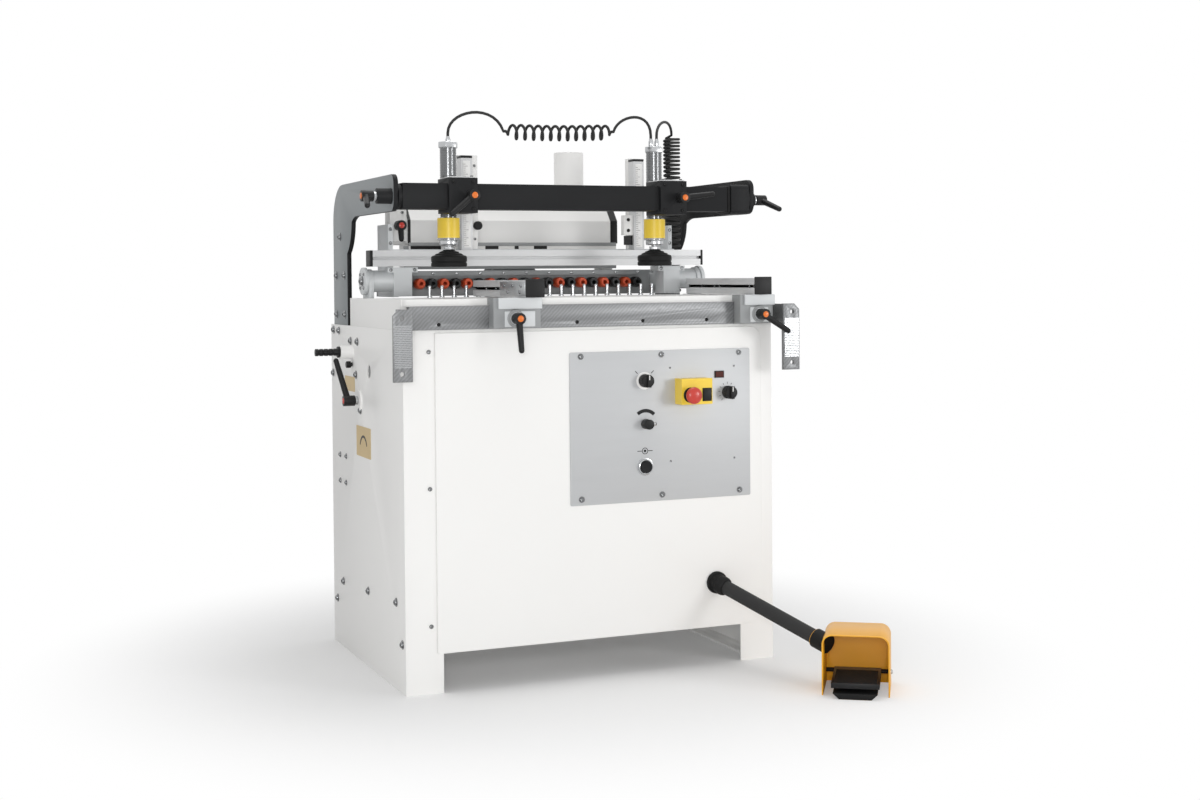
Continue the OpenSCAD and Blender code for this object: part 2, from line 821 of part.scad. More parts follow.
module profile_outline() difference() {
    square(profile);
    for (turn = [0 : quarter : full_turn - quarter])
        translate([profile / 2, profile / 2]) rotate(turn)
            translate([profile / 2 - groove_d, -groove_w / 2]) square([groove_d + cut, groove_w]);
}

module side_fence(i) color(alloy) on_table() {
    x = side_profile_x[i];
    y = side_profile_y;
    translate([x, y[1], side_profile_gap])
        rotate([quarter, 0, 0]) linear_extrude(y[1] - y[0]) profile_outline();
    block(
        [x - side_cap_edge, x + profile + side_cap_edge],
        [y[0] - side_cap_t, y[0]],
        [side_profile_gap, side_profile_gap + profile + side_cap_edge]
    );
    block(casting_x[i], casting_y, casting_z);
    block(casting_x[i], [casting_y[0], ledge_y1], [ledge_z0, casting_z[1]]);
    rod_y([casting_y[0] - stud_l, casting_y[0] + cut], side_lever_at[i], stud_r);
}

module side_lever(i) color(black) on_table()
    translate([side_lever_at[i][0], casting_y[0] - loose_fit, side_lever_at[i][1]])
        facing_front() rotate(side_lever_turn[i]) lever(lever_l);

module rear_fence() color(alloy) at_pivot() {
    translate([-bar_half, bar_y[0], bar_z[0]])
        rotate([quarter, 0, quarter]) linear_extrude(2 * bar_half) profile_outline();
    both_sides() block([bar_half, bar_half + bar_cap_t], bar_y, bar_z);
    for (x = column_x) {
        block([x, x + column_w], column_y, [bar_z[1], bar_z[1] + column_h]);
        block([x, x + column_w], column_y, [bar_z[1] + column_h, bar_z[1] + column_h + column_cap_h]);
    }
}

module lift_side() {
    difference() {
        union() {
            side_plate(lift_plate_x) {
                rectangle([-lift_foot_half, lift_foot_half], lift_z);
                rectangle([-lift_neck_half, lift_neck_half], [lift_z[0], 0]);
                circle(r = lift_neck_half);
            }
            for (side = [-1, 1]) {
                near = side * (guide_half + loose_fit);
                far = side * lift_foot_half;
                block([lift_plate_x[1] - cut, lip_x1], [min(near, far), max(near, far)], lift_z);
            }
        }
        rod_x([lift_plate_x[0] - cut, lift_plate_x[1] + cut], [0, 0], pivot_r + running_fit);
    }
}

module lift_carriage() color(cast_grey) at_pivot() {
    both_sides() lift_side();
    block(
        [-lift_plate_x[0] - cut, lift_plate_x[0] + cut],
        [-lift_neck_half, lift_neck_half],
        [lift_z[0], lift_z[0] + lift_bar_h]
    );
}

module tilt_side() {
    block(upright_x, upright_y, upright_z);
    block(knuckle_x, knuckle_y, knuckle_z);
    block(tee_x, knuckle_y, tee_z);
    block(upright_x, [knuckle_y[0], upright_y[1]], [upright_z[0], knuckle_z[1]]);
    block([feed_rail_x[0], feed_rail_x[1] + cut], feed_rail_y, feed_rail_z);
    rod_x([knuckle_x[0], disc_x[1]], [0, 0], pivot_r);
    rod_x([knuckle_x[1] - cut, lift_plate_x[0] - loose_fit], [0, 0], collar_r);
    rod_x(disc_x, [0, 0], disc_r);
}

module tilt_frame() color(cast_grey) at_pivot() {
    both_sides() tilt_side();
    block([-upright_x[1], upright_x[1]], cross_y, cross_z);
    for (x = post_x) block(x, [post_y0, cross_y[1]], [cross_z[0], post_top]);
}

module gear_case() color(cast_grey) at_pivot() difference() {
    union() {
        block([-case_half, case_half], case_y, case_z);
        block([-strip_half, strip_half], [strip_y0, case_y[1] - case_wall], strip_z);
        both_sides() {
            block([case_half - cut, upright_x[0] - shoe_gap], case_y, [case_z[0], feed_rail_z[0] - shoe_gap]);
            block([case_half - cut, upright_x[0] - shoe_gap], case_y, [feed_rail_z[1] + shoe_gap, case_z[1]]);
            block([case_half - cut, feed_rail_x[0] - shoe_gap], case_y, case_z);
        }
    }
    block(
        [case_end_wall - case_half, case_half - case_end_wall],
        [case_y[0] + case_wall, case_y[1] - case_wall],
        [axis_z - case_cavity_half, axis_z + case_cavity_half]
    );
    for (i = [0 : spindle_count - 1])
        rod_y([case_y[0] - cut, case_y[1] + cut], [spindle_x(i), axis_z], shaft_r + running_fit);
}

module gear_outline(turn) rotate(turn) {
    circle(r = gear_root_r);
    for (k = [0 : gear_teeth - 1]) rotate(full_turn * k / gear_teeth) polygon([
        for (side = [-1, 1])
            each side < 0 ? tooth_flank(side) : [for (j = [3 : -1 : 0]) tooth_flank(side)[j]]
    ]);
}
function tooth_flank(side) = [
    [gear_root_r * tooth_foot_share, side * gear_module * tooth_root_share],
    [gear_root_r, side * gear_module * tooth_root_share],
    [pitch / 2, side * gear_module * tooth_pitch_share],
    [gear_tip_r, side * gear_module * tooth_tip_share]
];

module spindle(i) color(i % 2 == 0 ? black : red) at_pivot() translate([spindle_x(i), 0, axis_z]) {
    difference() {
        rod_y([chuck_y[0], chuck_y[1]], [0, 0], chuck_r);
        rod_y([chuck_y[0] - cut, chuck_y[0] + bit_depth], [0, 0], bit_r);
    }
    rod_y([chuck_y[1] - cut, i == (spindle_count - 1) / 2 ? drive_end : shaft_end], [0, 0], shaft_r);
    translate([0, gear_y0, 0]) rotate([-quarter, 0, 0]) linear_extrude(gear_w)
        gear_outline(i % 2 * full_turn / gear_teeth / 2);
}

module motor() color(charcoal) at_pivot() difference() {
    union() {
        rod_y([case_y[1], case_y[1] + motor_flange_l], [0, axis_z], motor_flange_r);
        rod_y([case_y[1], motor_end], [0, axis_z], motor_r);
        block([-terminal_half, terminal_half], terminal_y, [axis_z, terminal_z]);
    }
    rod_y([case_y[1] - cut, drive_end + case_wall], [0, axis_z], motor_hole_r);
}

module hood_outline(wall) {
    drop = wall > 0 ? cut : 0;
    polygon([
        [hood_y[0] + wall, hood_z[0] - drop],
        [hood_y[0] + wall, hood_brow_z - wall / 2],
        [hood_brow_y + wall / 2, hood_z[1] - wall],
        [hood_y[1] - wall, hood_z[1] - wall],
        [hood_y[1] - wall, hood_z[0] - drop]
    ]);
}

module hood() color(white_paint) at_pivot() difference() {
    union() {
        difference() {
            side_plate(hood_x) hood_outline(0);
            side_plate([hood_x[0] + hood_t, hood_x[1] - hood_t]) hood_outline(hood_t);
        }
        for (x = leg_x) block(x, leg_y, [case_z[1], hood_z[1] - hood_t / 2]);
        block(cheek_x, cheek_y, cheek_z);
        rod_y([cheek_y[0] - stud_l, cheek_y[0] + cut], hood_lever_at, stud_r);
        rod_z([hood_z[1] - hood_t / 2, spigot_top], spigot_at, spigot_r);
    }
    rod_z([hood_z[1] - hood_t - cut, spigot_top + cut], spigot_at, spigot_r - hood_t);
}

module hood_lever() color(black) at_pivot()
    translate([hood_lever_at[0], cheek_y[0] - loose_fit, hood_lever_at[1]])
        facing_front() rotate(-quarter) lever(hood_lever_l);

module head_lever() color(black) on_panel()
    translate([-half_w - lever_boss_h - loose_fit, head_lever_at[0], head_lever_at[1]])
        facing_left() rotate(head_lever_turn) lever(head_lever_l);

module index_plunger() color(black) on_panel() {
    x = -half_w - plunger_boss_h - loose_fit;
    rod_x([x - cut, x + plunger_tail], plunger_at, plunger_r);
    rod_x([x - plunger_flange_l, x], plunger_at, plunger_flange_r);
    difference() {
        rod_x([x - plunger_grip_l, x - plunger_flange_l + cut], plunger_at, plunger_grip_r);
        for (k = [1 : plunger_grooves]) {
            groove = x - plunger_flange_l - k * plunger_groove_step;
            difference() {
                rod_x([groove, groove + plunger_groove_w], plunger_at, plunger_grip_r + cut);
                rod_x(
                    [groove - cut, groove + plunger_groove_w + cut],
                    plunger_at, plunger_grip_r - plunger_groove_d
                );
            }
        }
    }
}

module stop_button() color(red) on_panel() {
    face = control_front - switch_l;
    rod_y([face - stop_gap - cut, face + stop_gap], stop_at, stop_stem_r);
    rod_y([face - stop_gap - stop_head_l, face - stop_gap], stop_at, stop_head_r);
}

module knob_body(r) difference() {
    cylinder(r = r, h = knob_h);
    translate([0, 0, -cut]) cylinder(r = knob_post_r + loose_fit, h = knob_post_l + cut);
}

module control_knob(at) color(black) on_panel()
    translate([at[0], control_front - loose_fit, at[1]]) facing_front() {
        knob_body(knob_r);
        translate([-knob_bar_w / 2, -knob_r, knob_h - cut]) cube([knob_bar_w, 2 * knob_r, knob_bar_l + cut]);
    }

module regulator_knob() color(black) on_panel()
    translate([regulator_at[0], control_front - loose_fit, regulator_at[1]]) facing_front() {
        knob_body(regulator_r);
        translate([0, 0, knob_h / 2]) rotate([0, quarter, 0]) difference() {
            cylinder(r = regulator_arm_r, h = regulator_arm_l);
            translate([0, 0, -cut]) cylinder(r = regulator_arm_r + cut, h = knob_post_l / 2 + cut);
        }
    }

module push_button() color(steel) on_panel()
    rod_y([control_front - push_ring_l - push_out, control_front - push_tail], push_at, push_r);

module at_pedal() from_front() translate([pedal_at[0], pedal_at[1], 0]) rotate(pedal_turn) children();

module guard_arch(x, z, r) round_corners(x, z, r, [[false, true], [false, true]]);

module pedal_guard() color(yellow) at_pedal() {
    x = [-guard_w / 2, guard_w / 2];
    difference() {
        union() {
            front_plate([0, guard_d]) guard_arch(x, [0, guard_h], guard_corner_r);
            translate(hose_port) toward(turned(-hose_way, -pedal_turn))
                translate([0, 0, -hose_port_sink])
                    cylinder(r = hose_port_r, h = hose_port_l + hose_port_sink);
        }
        front_plate([-cut, guard_d - guard_t])
            guard_arch([x[0] + guard_t, x[1] - guard_t], [-cut, guard_h - guard_t], guard_corner_r - guard_t);
        rod_x([x[0] - cut, x[1] + cut], pedal_axle_at, pedal_axle_r + running_fit);
    }
    front_plate(pedal_base_y) polygon([
        [-pedal_base_half[0], 0],
        [pedal_base_half[0], 0],
        [pedal_base_half[1], pedal_base_h],
        [-pedal_base_half[1], pedal_base_h]
    ]);
}

module pedal() color(black) at_pedal() {
    block([-pedal_half, pedal_half], pedal_y, pedal_z);
    rod_x([-guard_w / 2, guard_w / 2], pedal_axle_at, pedal_axle_r);
}

module pedal_hose() color(black) from_front()
    tube(pedal_hose_route, [0, 0, 1], pedal_hose_r, tube_sides);

air_steps = air_curls * curl_rings;
air_points = concat(
    [air_lead_left[0] - [0, 0, lead_straight]],
    lead(air_lead_left),
    inner([for (i = [0 : air_steps])
        let (
            t = i / air_steps,
            a = full_turn * i / curl_rings,
            r = curl_r * curl_share(i / curl_rings, air_curls)
        )
            air_coil_ends[0] + t * (air_coil_ends[1] - air_coil_ends[0])
            + [0, -r * sin(a), r * cos(a) - air_sag * 4 * t * (1 - t)]]),
    lead(air_lead_right),
    [air_lead_right[3] - [0, 0, lead_straight]]
);

module air_coil() color(black) on_table() tube(air_points, [0, 1, 0], air_r, coil_sides);

supply_steps = supply_curls * curl_rings;
supply_points = concat(
    [supply_lead[0] - [0, 0, lead_straight]],
    lead(supply_lead),
    inner([for (i = [0 : supply_steps])
        let (
            t = i / supply_steps,
            a = full_turn * i / curl_rings,
            r = supply_curl_r * curl_share(i / curl_rings, supply_curls),
            fall = t * (1 - loosening_share) + t * t * loosening_share
        )
            supply_coil_ends[0] + fall * (supply_coil_ends[1] - supply_coil_ends[0])
            + [r * sin(a), r * cos(a), 0]]),
    [supply_coil_ends[1], [supply_at[0], supply_at[1], supply_fitting_z - table_rise]]
);

module supply_coil() color(black) on_table() tube(supply_points, [1, 0, 0], air_r, coil_sides);

echo(air_coil_gap = self_gap(air_points, air_r), supply_coil_gap = self_gap(supply_points, air_r));

cabinet();
front_cover();
control_plate();
table();
front_rail();
clamp_arms();
clamp_beam();
beam_levers();
for (i = [0, 1]) {
    carriage(i);
    carriage_lever(i);
    clamp_cylinder(i);
    clamp_foot(i);
    side_fence(i);
    side_lever(i);
}
rear_fence();
lift_carriage();
tilt_frame();
gear_case();
for (i = [0 : spindle_count - 1]) spindle(i);
motor();
hood();
hood_lever();
head_lever();
index_plunger();
stop_button();
control_knob(knob_at[0]);  // selector_knob
control_knob(knob_at[1]);  // timer_knob
regulator_knob();
push_button();
pedal_guard();
pedal();
pedal_hose();
air_coil();
supply_coil();
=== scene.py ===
"""Line boring machine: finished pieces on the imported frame, with hoses, stage and camera."""

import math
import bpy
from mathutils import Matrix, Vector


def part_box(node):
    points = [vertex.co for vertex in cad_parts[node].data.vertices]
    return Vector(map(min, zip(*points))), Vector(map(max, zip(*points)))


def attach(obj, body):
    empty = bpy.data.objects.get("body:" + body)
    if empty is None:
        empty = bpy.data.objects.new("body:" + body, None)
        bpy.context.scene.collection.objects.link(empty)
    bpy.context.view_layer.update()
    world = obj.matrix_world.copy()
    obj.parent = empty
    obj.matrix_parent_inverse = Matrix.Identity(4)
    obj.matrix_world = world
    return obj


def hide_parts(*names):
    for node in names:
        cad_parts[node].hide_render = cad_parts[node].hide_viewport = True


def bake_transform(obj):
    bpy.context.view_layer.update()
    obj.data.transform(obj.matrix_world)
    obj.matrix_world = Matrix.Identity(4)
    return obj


bl_info = {
    "name": "Line Boring Machine",
    "version": (1, 0, 0),
    "blender": (4, 5, 0),
    "location": "View3D > Sidebar > Boring Machine",
    "description": "Dresses the frame of a line boring machine with detailed pieces and finishes",
    "category": "Object",
}

import bmesh
import bpy
from bpy.props import FloatProperty, FloatVectorProperty, IntProperty, PointerProperty
from mathutils import Matrix, Vector

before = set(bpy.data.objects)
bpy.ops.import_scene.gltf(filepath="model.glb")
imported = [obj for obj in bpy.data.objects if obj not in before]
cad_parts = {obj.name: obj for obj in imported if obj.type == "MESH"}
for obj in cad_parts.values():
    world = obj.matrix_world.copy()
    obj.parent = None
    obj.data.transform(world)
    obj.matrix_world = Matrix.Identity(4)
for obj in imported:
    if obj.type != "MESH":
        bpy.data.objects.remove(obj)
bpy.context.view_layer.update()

MM = 0.001
UP = Vector((0, 0, 1))
RIGHT = Vector((1, 0, 0))
BACK = Vector((0, 1, 0))
BOTH = (-1, 1)
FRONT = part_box("cabinet")[0][1]
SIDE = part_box("table")[1][0] / MM


# Sizes and colours that a user would change


def colour(name, description, default):
    return FloatVectorProperty(
        name=name, description=description, subtype="COLOR", size=3, min=0, max=1, default=default
    )


def length(name, description, default):
    return FloatProperty(name=name, description=description, unit="LENGTH", min=0, default=default)


class MachineColours(bpy.types.PropertyGroup):
    """Base colours of the finishes"""

    white: colour("White coat", "Cabinet, cover, table and hood", (0.89, 0.885, 0.87))
    plate: colour("Control plate", "Brushed plate behind the controls", (0.51, 0.52, 0.53))
    arm: colour("Arms", "Gooseneck arms", (0.22, 0.24, 0.25))
    casting: colour("Castings", "Fence castings and gear case", (0.30, 0.31, 0.315))
    head: colour("Head frame", "Uprights and lift plates", (0.62, 0.64, 0.65))
    charcoal: colour("Charcoal", "Clamp beam and carriages", (0.013, 0.0135, 0.0145))
    golden: colour("Golden yellow", "Pedal guard", (0.85, 0.41, 0.015))
    signal: colour("Signal yellow", "Switch box and cylinder bodies", (0.92, 0.65, 0.055))
    steel: colour("Machined steel", "Brackets and screws", (0.50, 0.51, 0.52))
    rail: colour("Rail steel", "Milled face of the front rail", (0.23, 0.235, 0.24))
    alloy: colour("Anodised alloy", "Fence profiles", (0.66, 0.665, 0.67))
    rubber: colour("Rubber", "Feet and hoses", (0.009, 0.009, 0.009))
    plastic: colour("Black plastic", "Levers, knobs and caps", (0.011, 0.011, 0.0115))
    stop_red: colour("Stop red", "Emergency stop button", (0.56, 0.035, 0.02))
    chuck_red: colour("Chuck red", "Right-hand chucks", (0.60, 0.075, 0.02))
    chuck_black: colour("Chuck black", "Left-hand chucks", (0.02, 0.02, 0.021))
    orange: colour("Button orange", "Press buttons of the clamp levers", (0.78, 0.17, 0.012))
    tan: colour("Tan plates", "Plates on the left panel", (0.62, 0.46, 0.22))
    display: colour("Display", "Display window", (0.075, 0.014, 0.009))
    floor: colour("Floor", "Studio floor", (0.96, 0.96, 0.96))


class MachineSizes(bpy.types.PropertyGroup):
    """Sizes of the finishing details"""

    edge: length("Edge", "Radius of the sheet edges", 0.0008)
    soft_edge: length("Soft edge", "Radius of the cast and moulded edges", 0.002)
    bolt: length("Bolt", "Radius of a panel bolt head", 0.0072)
    screw: length("Screw", "Radius of a small screw head", 0.0052)
    button: length("Button", "Radius of a lever's press button", 0.0075)
    thread: length("Thread", "Pitch of the cylinder tube's thread", 0.004)
    curl_steps: IntProperty(name="Curl steps", description="Points in one curl", min=12, default=20)


def colours():
    return bpy.context.scene.machine_colours


def sizes():
    return bpy.context.scene.machine_sizes


def size(name):
    """Size of a detail in millimetres."""
    return getattr(sizes(), name) / MM


# Shapes: sizes and tuples are in millimetres, vectors in metres

MERGE = MM / 100
SOLID_MERGE = MM / 200
FLAT_ANGLE = math.radians(0.4)
SHARP_ANGLE = math.radians(35)
SHADE_ANGLE = math.radians(32)
ROUND_STEPS = 40
FINE_STEPS = 56
SMALL_STEPS = 28
CORNER_STEPS = 8
BAND_STEPS = 24
SCREW_STEPS = 20
FINE_EDGE = 0.5
SHEET_EDGE = 0.7
PLATE_EDGE = 1
BLOCK_EDGE = 1.2
MOULDED_EDGE = 1.4
CAST_EDGE = 1.5
CAP_EDGE = 1.6
HEAD_SHARES = ((0, 0.25), (0.42, 0.25), (0.42, 0.62), (0.6, 0.66), (0.82, 0.55), (1, 0.25), (1, 0))
WASHER_SHARE = 0.24
WASHER_SHARES = ((1.38, 0), (1.45, -0.06), (1.45, -WASHER_SHARE))


def place(x, depth, z):
    """Point in metres from millimetres, with its depth counted from the cabinet front."""
    return Vector((x * MM, FRONT + depth * MM, z * MM))


def oblong(a, b):
    """Corners of an oblong from its two pairs of limits."""
    return (a[0], b[0]), (a[1], b[0]), (a[1], b[1]), (a[0], b[1])


def added(items, before):
    return [item for item in items if item not in before]


def stand(bm, verts, axis, at):
    """Turns an upright shape along an axis and moves it to its place."""
    turn = UP.rotation_difference(axis).to_matrix()
    bmesh.ops.rotate(bm, verts=verts, cent=(0, 0, 0), matrix=turn)
    bmesh.ops.translate(bm, vec=at, verts=verts)


def thicken(bm, faces, thickness):
    """Extrudes flat faces along a vector."""
    made = bmesh.ops.extrude_face_region(bm, geom=faces)["geom"]
    moved = [item for item in made if isinstance(item, bmesh.types.BMVert)]
    bmesh.ops.translate(bm, vec=thickness, verts=moved)
    bmesh.ops.recalc_face_normals(bm, faces=bm.faces)


def add_box(bm, low, high):
    """Box between its lowest and highest corner."""
    low, high = place(*low), place(*high)
    made = bmesh.ops.create_cube(bm, size=1)["verts"]
    bmesh.ops.scale(bm, vec=high - low, verts=made)
    bmesh.ops.translate(bm, vec=(low + high) / 2, verts=made)


def boxes(*pairs):
    bm = bmesh.new()
    for low, high in pairs:
        add_box(bm, low, high)
    return bm


def moved(box, spot):
    """Corners of a box that is measured from a spot."""
    return [[a + b for a, b in zip(corner, spot)] for corner in box]


def between(limits, box):
    """Corners of a box whose left and right ends are measured from two limits."""
    return [(limit + across, *rest) for limit, (across, *rest) in zip(limits, box)]


def add_boxes(bm, spots, box):
    """The same box at each of several spots."""
    for spot in spots:
        add_box(bm, *moved(box, spot))
    return bm


def add_rod(bm, start, end, radius, segments=ROUND_STEPS):
    """Bar between two points."""
    start, end, r = place(*start), place(*end), radius * MM
    axis = end - start
    made = bmesh.ops.create_cone(
        bm, cap_ends=True, segments=segments, radius1=r, radius2=r, depth=axis.length
    )["verts"]
    stand(bm, made, axis, (start + end) / 2)


def add_lathe(bm, profile, base, axis=UP, segments=ROUND_STEPS, closed=False):
    """Turned shape: profile holds radius and height along the axis from base."""
    before = set(bm.verts)
    points = (*profile, profile[0]) if closed else profile
    verts = [bm.verts.new((radius * MM, 0, height * MM)) for radius, height in points]
    edges = [bm.edges.new(pair) for pair in zip(verts, verts[1:])]
    bmesh.ops.spin(
        bm, geom=verts + edges, axis=UP, cent=(0, 0, 0), angle=math.tau, steps=segments, use_merge=True
    )
    bmesh.ops.remove_doubles(bm, verts=added(bm.verts, before), dist=MERGE)
    made = added(bm.verts, before)
    faces = {face for vert in made for face in vert.link_faces}
    bmesh.ops.recalc_face_normals(bm, faces=list(faces))
    stand(bm, made, axis, base)


def turned(profile, base, axis=UP, segments=ROUND_STEPS, closed=False):
    bm = bmesh.new()
    add_lathe(bm, profile, base, axis, segments, closed)
    return bm


def add_plate(bm, outline, thickness, corner=0, rounded=None):
    """Flat plate from its outline, with the chosen corners rounded."""
    before = set(bm.faces)
    verts = [bm.verts.new(point) for point in outline]
    bm.faces.new(verts)
    if corner:
        bmesh.ops.bevel(
            bm,
            geom=verts if rounded is None else [verts[i] for i in rounded],
            offset=corner * MM,
            segments=CORNER_STEPS,
            profile=0.5,
            affect="VERTICES",
            material=-1,
        )
    thicken(bm, added(bm.faces, before), thickness)


def add_band(bm, centre, axis, start, radii, angle, thickness):
    """Flat arc band round an axis, from a start direction over an angle."""
    before = set(bm.faces)
    ends = [bm.verts.new(centre + start * radius * MM) for radius in radii]
    edge = bm.edges.new(ends)
    bmesh.ops.spin(bm, geom=ends + [edge], axis=axis, cent=centre, angle=angle, steps=BAND_STEPS)
    thicken(bm, added(bm.faces, before), thickness)


def add_screw(bm, base, axis, radius, washer=False):
    """Button head screw with a socket, and a washer under it where one is asked for."""
    shares = HEAD_SHARES
    if washer:
        shares += WASHER_SHARES
        base = base + axis * (WASHER_SHARE * radius * MM)
    add_lathe(bm, [(r * radius, h * radius) for r, h in shares], base, axis, SCREW_STEPS)


def screws(*groups, x=0):
    """Screws in groups, each with its places beside x, axis, head radius and whether it has washers."""
    bm = bmesh.new()
    for places, *kind in groups:
        for across, depth, z in places:
            add_screw(bm, place(x + across, depth, z), *kind)
    return bm


def soften(bm, width, segments=2):
    """Rounds every sharp edge."""
    bmesh.ops.bevel(
        bm,
        geom=[e for e in bm.edges if len(e.link_faces) == 2 and e.calc_face_angle() > SHARP_ANGLE],
        offset=width * MM,
        offset_type="OFFSET",
        segments=segments,
        profile=0.5,
        affect="EDGES",
        clamp_overlap=True,
        material=-1,
    )


def flatten(bm):
    """Joins the triangles of flat faces."""
    bmesh.ops.dissolve_limit(bm, angle_limit=FLAT_ANGLE, verts=bm.verts, edges=bm.edges)


def close(bm):
    bmesh.ops.holes_fill(bm, edges=[e for e in bm.edges if e.is_boundary], sides=0)


def cad_shape(node):
    """Merged copy of a node's solids."""
    bm = bmesh.new()
    bm.from_mesh(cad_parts[node].data)
    bmesh.ops.remove_doubles(bm, verts=bm.verts, dist=SOLID_MERGE)
    flatten(bm)
    return bm


def cut_out(node, low, high):
    """Closed part of a node's solid that lies between two corners."""
    bm = cad_shape(node)
    for axis in (RIGHT, BACK, UP):
        for corner, way in ((place(*low), -axis), (place(*high), axis)):
            geom = bm.verts[:] + bm.edges[:] + bm.faces[:]
            bmesh.ops.bisect_plane(bm, geom=geom, plane_co=corner, plane_no=way, clear_outer=True)
            close(bm)
    bmesh.ops.recalc_face_normals(bm, faces=bm.faces)
    return bm


def piece(name, bm, finish, body, node=None, edge=0, steps=2):
    """Turns a bmesh into a piece that rides on a body and may stand for a node."""
    if edge:
        soften(bm, edge, steps)
    mesh = bpy.data.meshes.new(name)
    bm.to_mesh(mesh)
    bm.free()
    if "custom_normal" in mesh.attributes:
        mesh.attributes.remove(mesh.attributes["custom_normal"])
    mesh.materials.clear()
    mesh.materials.append(finish)
    mesh.polygons.foreach_set("material_index", [0] * len(mesh.polygons))
    mesh.shade_smooth()
    mesh.set_sharp_from_angle(angle=SHADE_ANGLE)
    obj = bpy.data.objects.new(name, mesh)
    bpy.context.scene.collection.objects.link(obj)
    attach(obj, body)
    if node:
        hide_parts(node)
    return obj


def dressed(node, finish, body, edge):
    """Copy of a node with rounded edges that stands for it."""
    return piece(node + "_dressed", cad_shape(node), finish, body, node, edge)


# Finishes

CLOUD_DETAIL = 4
GRAIN_DETAIL = 3
HATCH_DETAIL = 3
HATCH_DISTORTION = 3
RELIEF_DEPTH = 0.0004
LEAST_ROUGHNESS = 0.03


def add_node(tree, kind, **values):
    """New shader node with its input values, where an underscore in a name stands for a space."""
    node = tree.nodes.new("ShaderNode" + kind)
    for name, value in values.items():
        node.inputs[name.replace("_", " ")].default_value = value
    return node


def finish(name, tone, roughness, metallic=0.0, **detail):
    """Procedural finish on Object coordinates: clouded colour, grained roughness and fine relief."""
    ready = bpy.data.materials.get(name)
    if ready:
        return ready
    base = getattr(colours(), tone)
    material = bpy.data.materials.new(name)
    material.use_nodes = True
    tree = material.node_tree
    join = tree.links.new
    shader = tree.nodes["Principled BSDF"]
    shader.inputs["Metallic"].default_value = metallic
    shader.inputs["Specular IOR Level"].default_value = detail.get("specular", 0.5)
    shader.inputs["Coat Weight"].default_value = detail.get("coat", 0.0)
    coords = add_node(tree, "TexCoord")
    stretch, turn = detail.get("stretch", (1, 1, 1)), detail.get("turn", (0, 0, 0))
    mapping = add_node(tree, "Mapping", Scale=stretch, Rotation=turn)
    join(coords.outputs["Object"], mapping.inputs["Vector"])
    if "hatch" in detail:
        pattern = add_node(
            tree, "TexWave", Scale=detail["hatch"], Distortion=HATCH_DISTORTION, Detail=HATCH_DETAIL
        )
        pattern.bands_direction = "DIAGONAL"
    else:
        pattern = add_node(tree, "TexNoise", Scale=detail.get("cloud", 7.0), Detail=CLOUD_DETAIL)
    join(mapping.outputs["Vector"], pattern.inputs["Vector"])
    tint = add_node(tree, "Mix")
    tint.data_type = "RGBA"
    spread = detail.get("mottle", 0.05)
    tint.inputs[6].default_value = [c * (1 - spread) for c in base] + [1]
    tint.inputs[7].default_value = [min(1, c * (1 + spread)) for c in base] + [1]
    join(pattern.outputs["Fac"], tint.inputs[0])
    join(tint.outputs[2], shader.inputs["Base Color"])
    grain = add_node(tree, "TexNoise", Scale=detail.get("grain", 900.0), Detail=GRAIN_DETAIL)
    join(mapping.outputs["Vector"], grain.inputs["Vector"])
    swing = detail.get("gloss_spread", 0.08)
    gloss = add_node(
        tree, "MapRange", To_Min=max(LEAST_ROUGHNESS, roughness - swing), To_Max=roughness + swing
    )
    join(grain.outputs["Fac"], gloss.inputs["Value"])
    join(gloss.outputs["Result"], shader.inputs["Roughness"])
    relief = add_node(tree, "Bump", Strength=detail.get("relief", 0.15), Distance=RELIEF_DEPTH)
    join(grain.outputs["Fac"], relief.inputs["Height"])
    join(relief.outputs["Normal"], shader.inputs["Normal"])
    return material


def white_coat():
    return finish("white_coat", "white", 0.42, grain=700, relief=0.10, mottle=0.02, cloud=2.5)


def plate_coat():
    return finish(
        "plate_coat", "plate", 0.45, 0.25, grain=260, relief=0.05, stretch=(1, 1, 9), mottle=0.03
    )


def arm_coat():
    return finish("arm_coat", "arm", 0.45, grain=800, relief=0.14, mottle=0.05, cloud=4)


def casting_coat():
    return finish("casting_coat", "casting", 0.48, 0.1, grain=420, relief=0.22, mottle=0.07)


def head_coat():
    return finish("head_coat", "head", 0.46, 0.1, grain=420, relief=0.16, mottle=0.05)


def charcoal_coat():
    return finish(
        "charcoal_coat", "charcoal", 0.5, grain=620, relief=0.2, mottle=0.15, cloud=9, specular=0.16
    )


def golden_coat():
    return finish("golden_coat", "golden", 0.36, grain=500, relief=0.12, mottle=0.05, cloud=9)


def signal_coat():
    return finish("signal_coat", "signal", 0.38, grain=500, relief=0.06, mottle=0.03, cloud=9)


def machined_steel():
    milling = {"stretch": (2.2, 2.2, 16), "turn": (0, 0.7, 0), "gloss_spread": 0.14}
    return finish(
        "machined_steel", "steel", 0.34, 0.95, grain=120, relief=0.12, mottle=0.16, cloud=40, **milling
    )


def rail_steel():
    milling = {"hatch": 64, "stretch": (1, 1, -1), "gloss_spread": 0.12}
    return finish("rail_steel", "rail", 0.40, 0.55, grain=160, relief=0.10, mottle=0.12, **milling)


def bright_steel():
    return finish("bright_steel", "steel", 0.24, 1.0, grain=600, relief=0.05, mottle=0.06, cloud=30)


def dark_steel():
    return finish("dark_steel", "rail", 0.22, 1.0, grain=500, relief=0.08, mottle=0.12, cloud=30)


def profile_alloy():
    return finish(
        "profile_alloy", "alloy", 0.4, 0.2, grain=300, stretch=(1, 1, 22), relief=0.05, mottle=0.05
    )


def black_rubber():
    return finish(
        "black_rubber", "rubber", 0.6, grain=500, relief=0.25, mottle=0.2, cloud=20, specular=0.2
    )


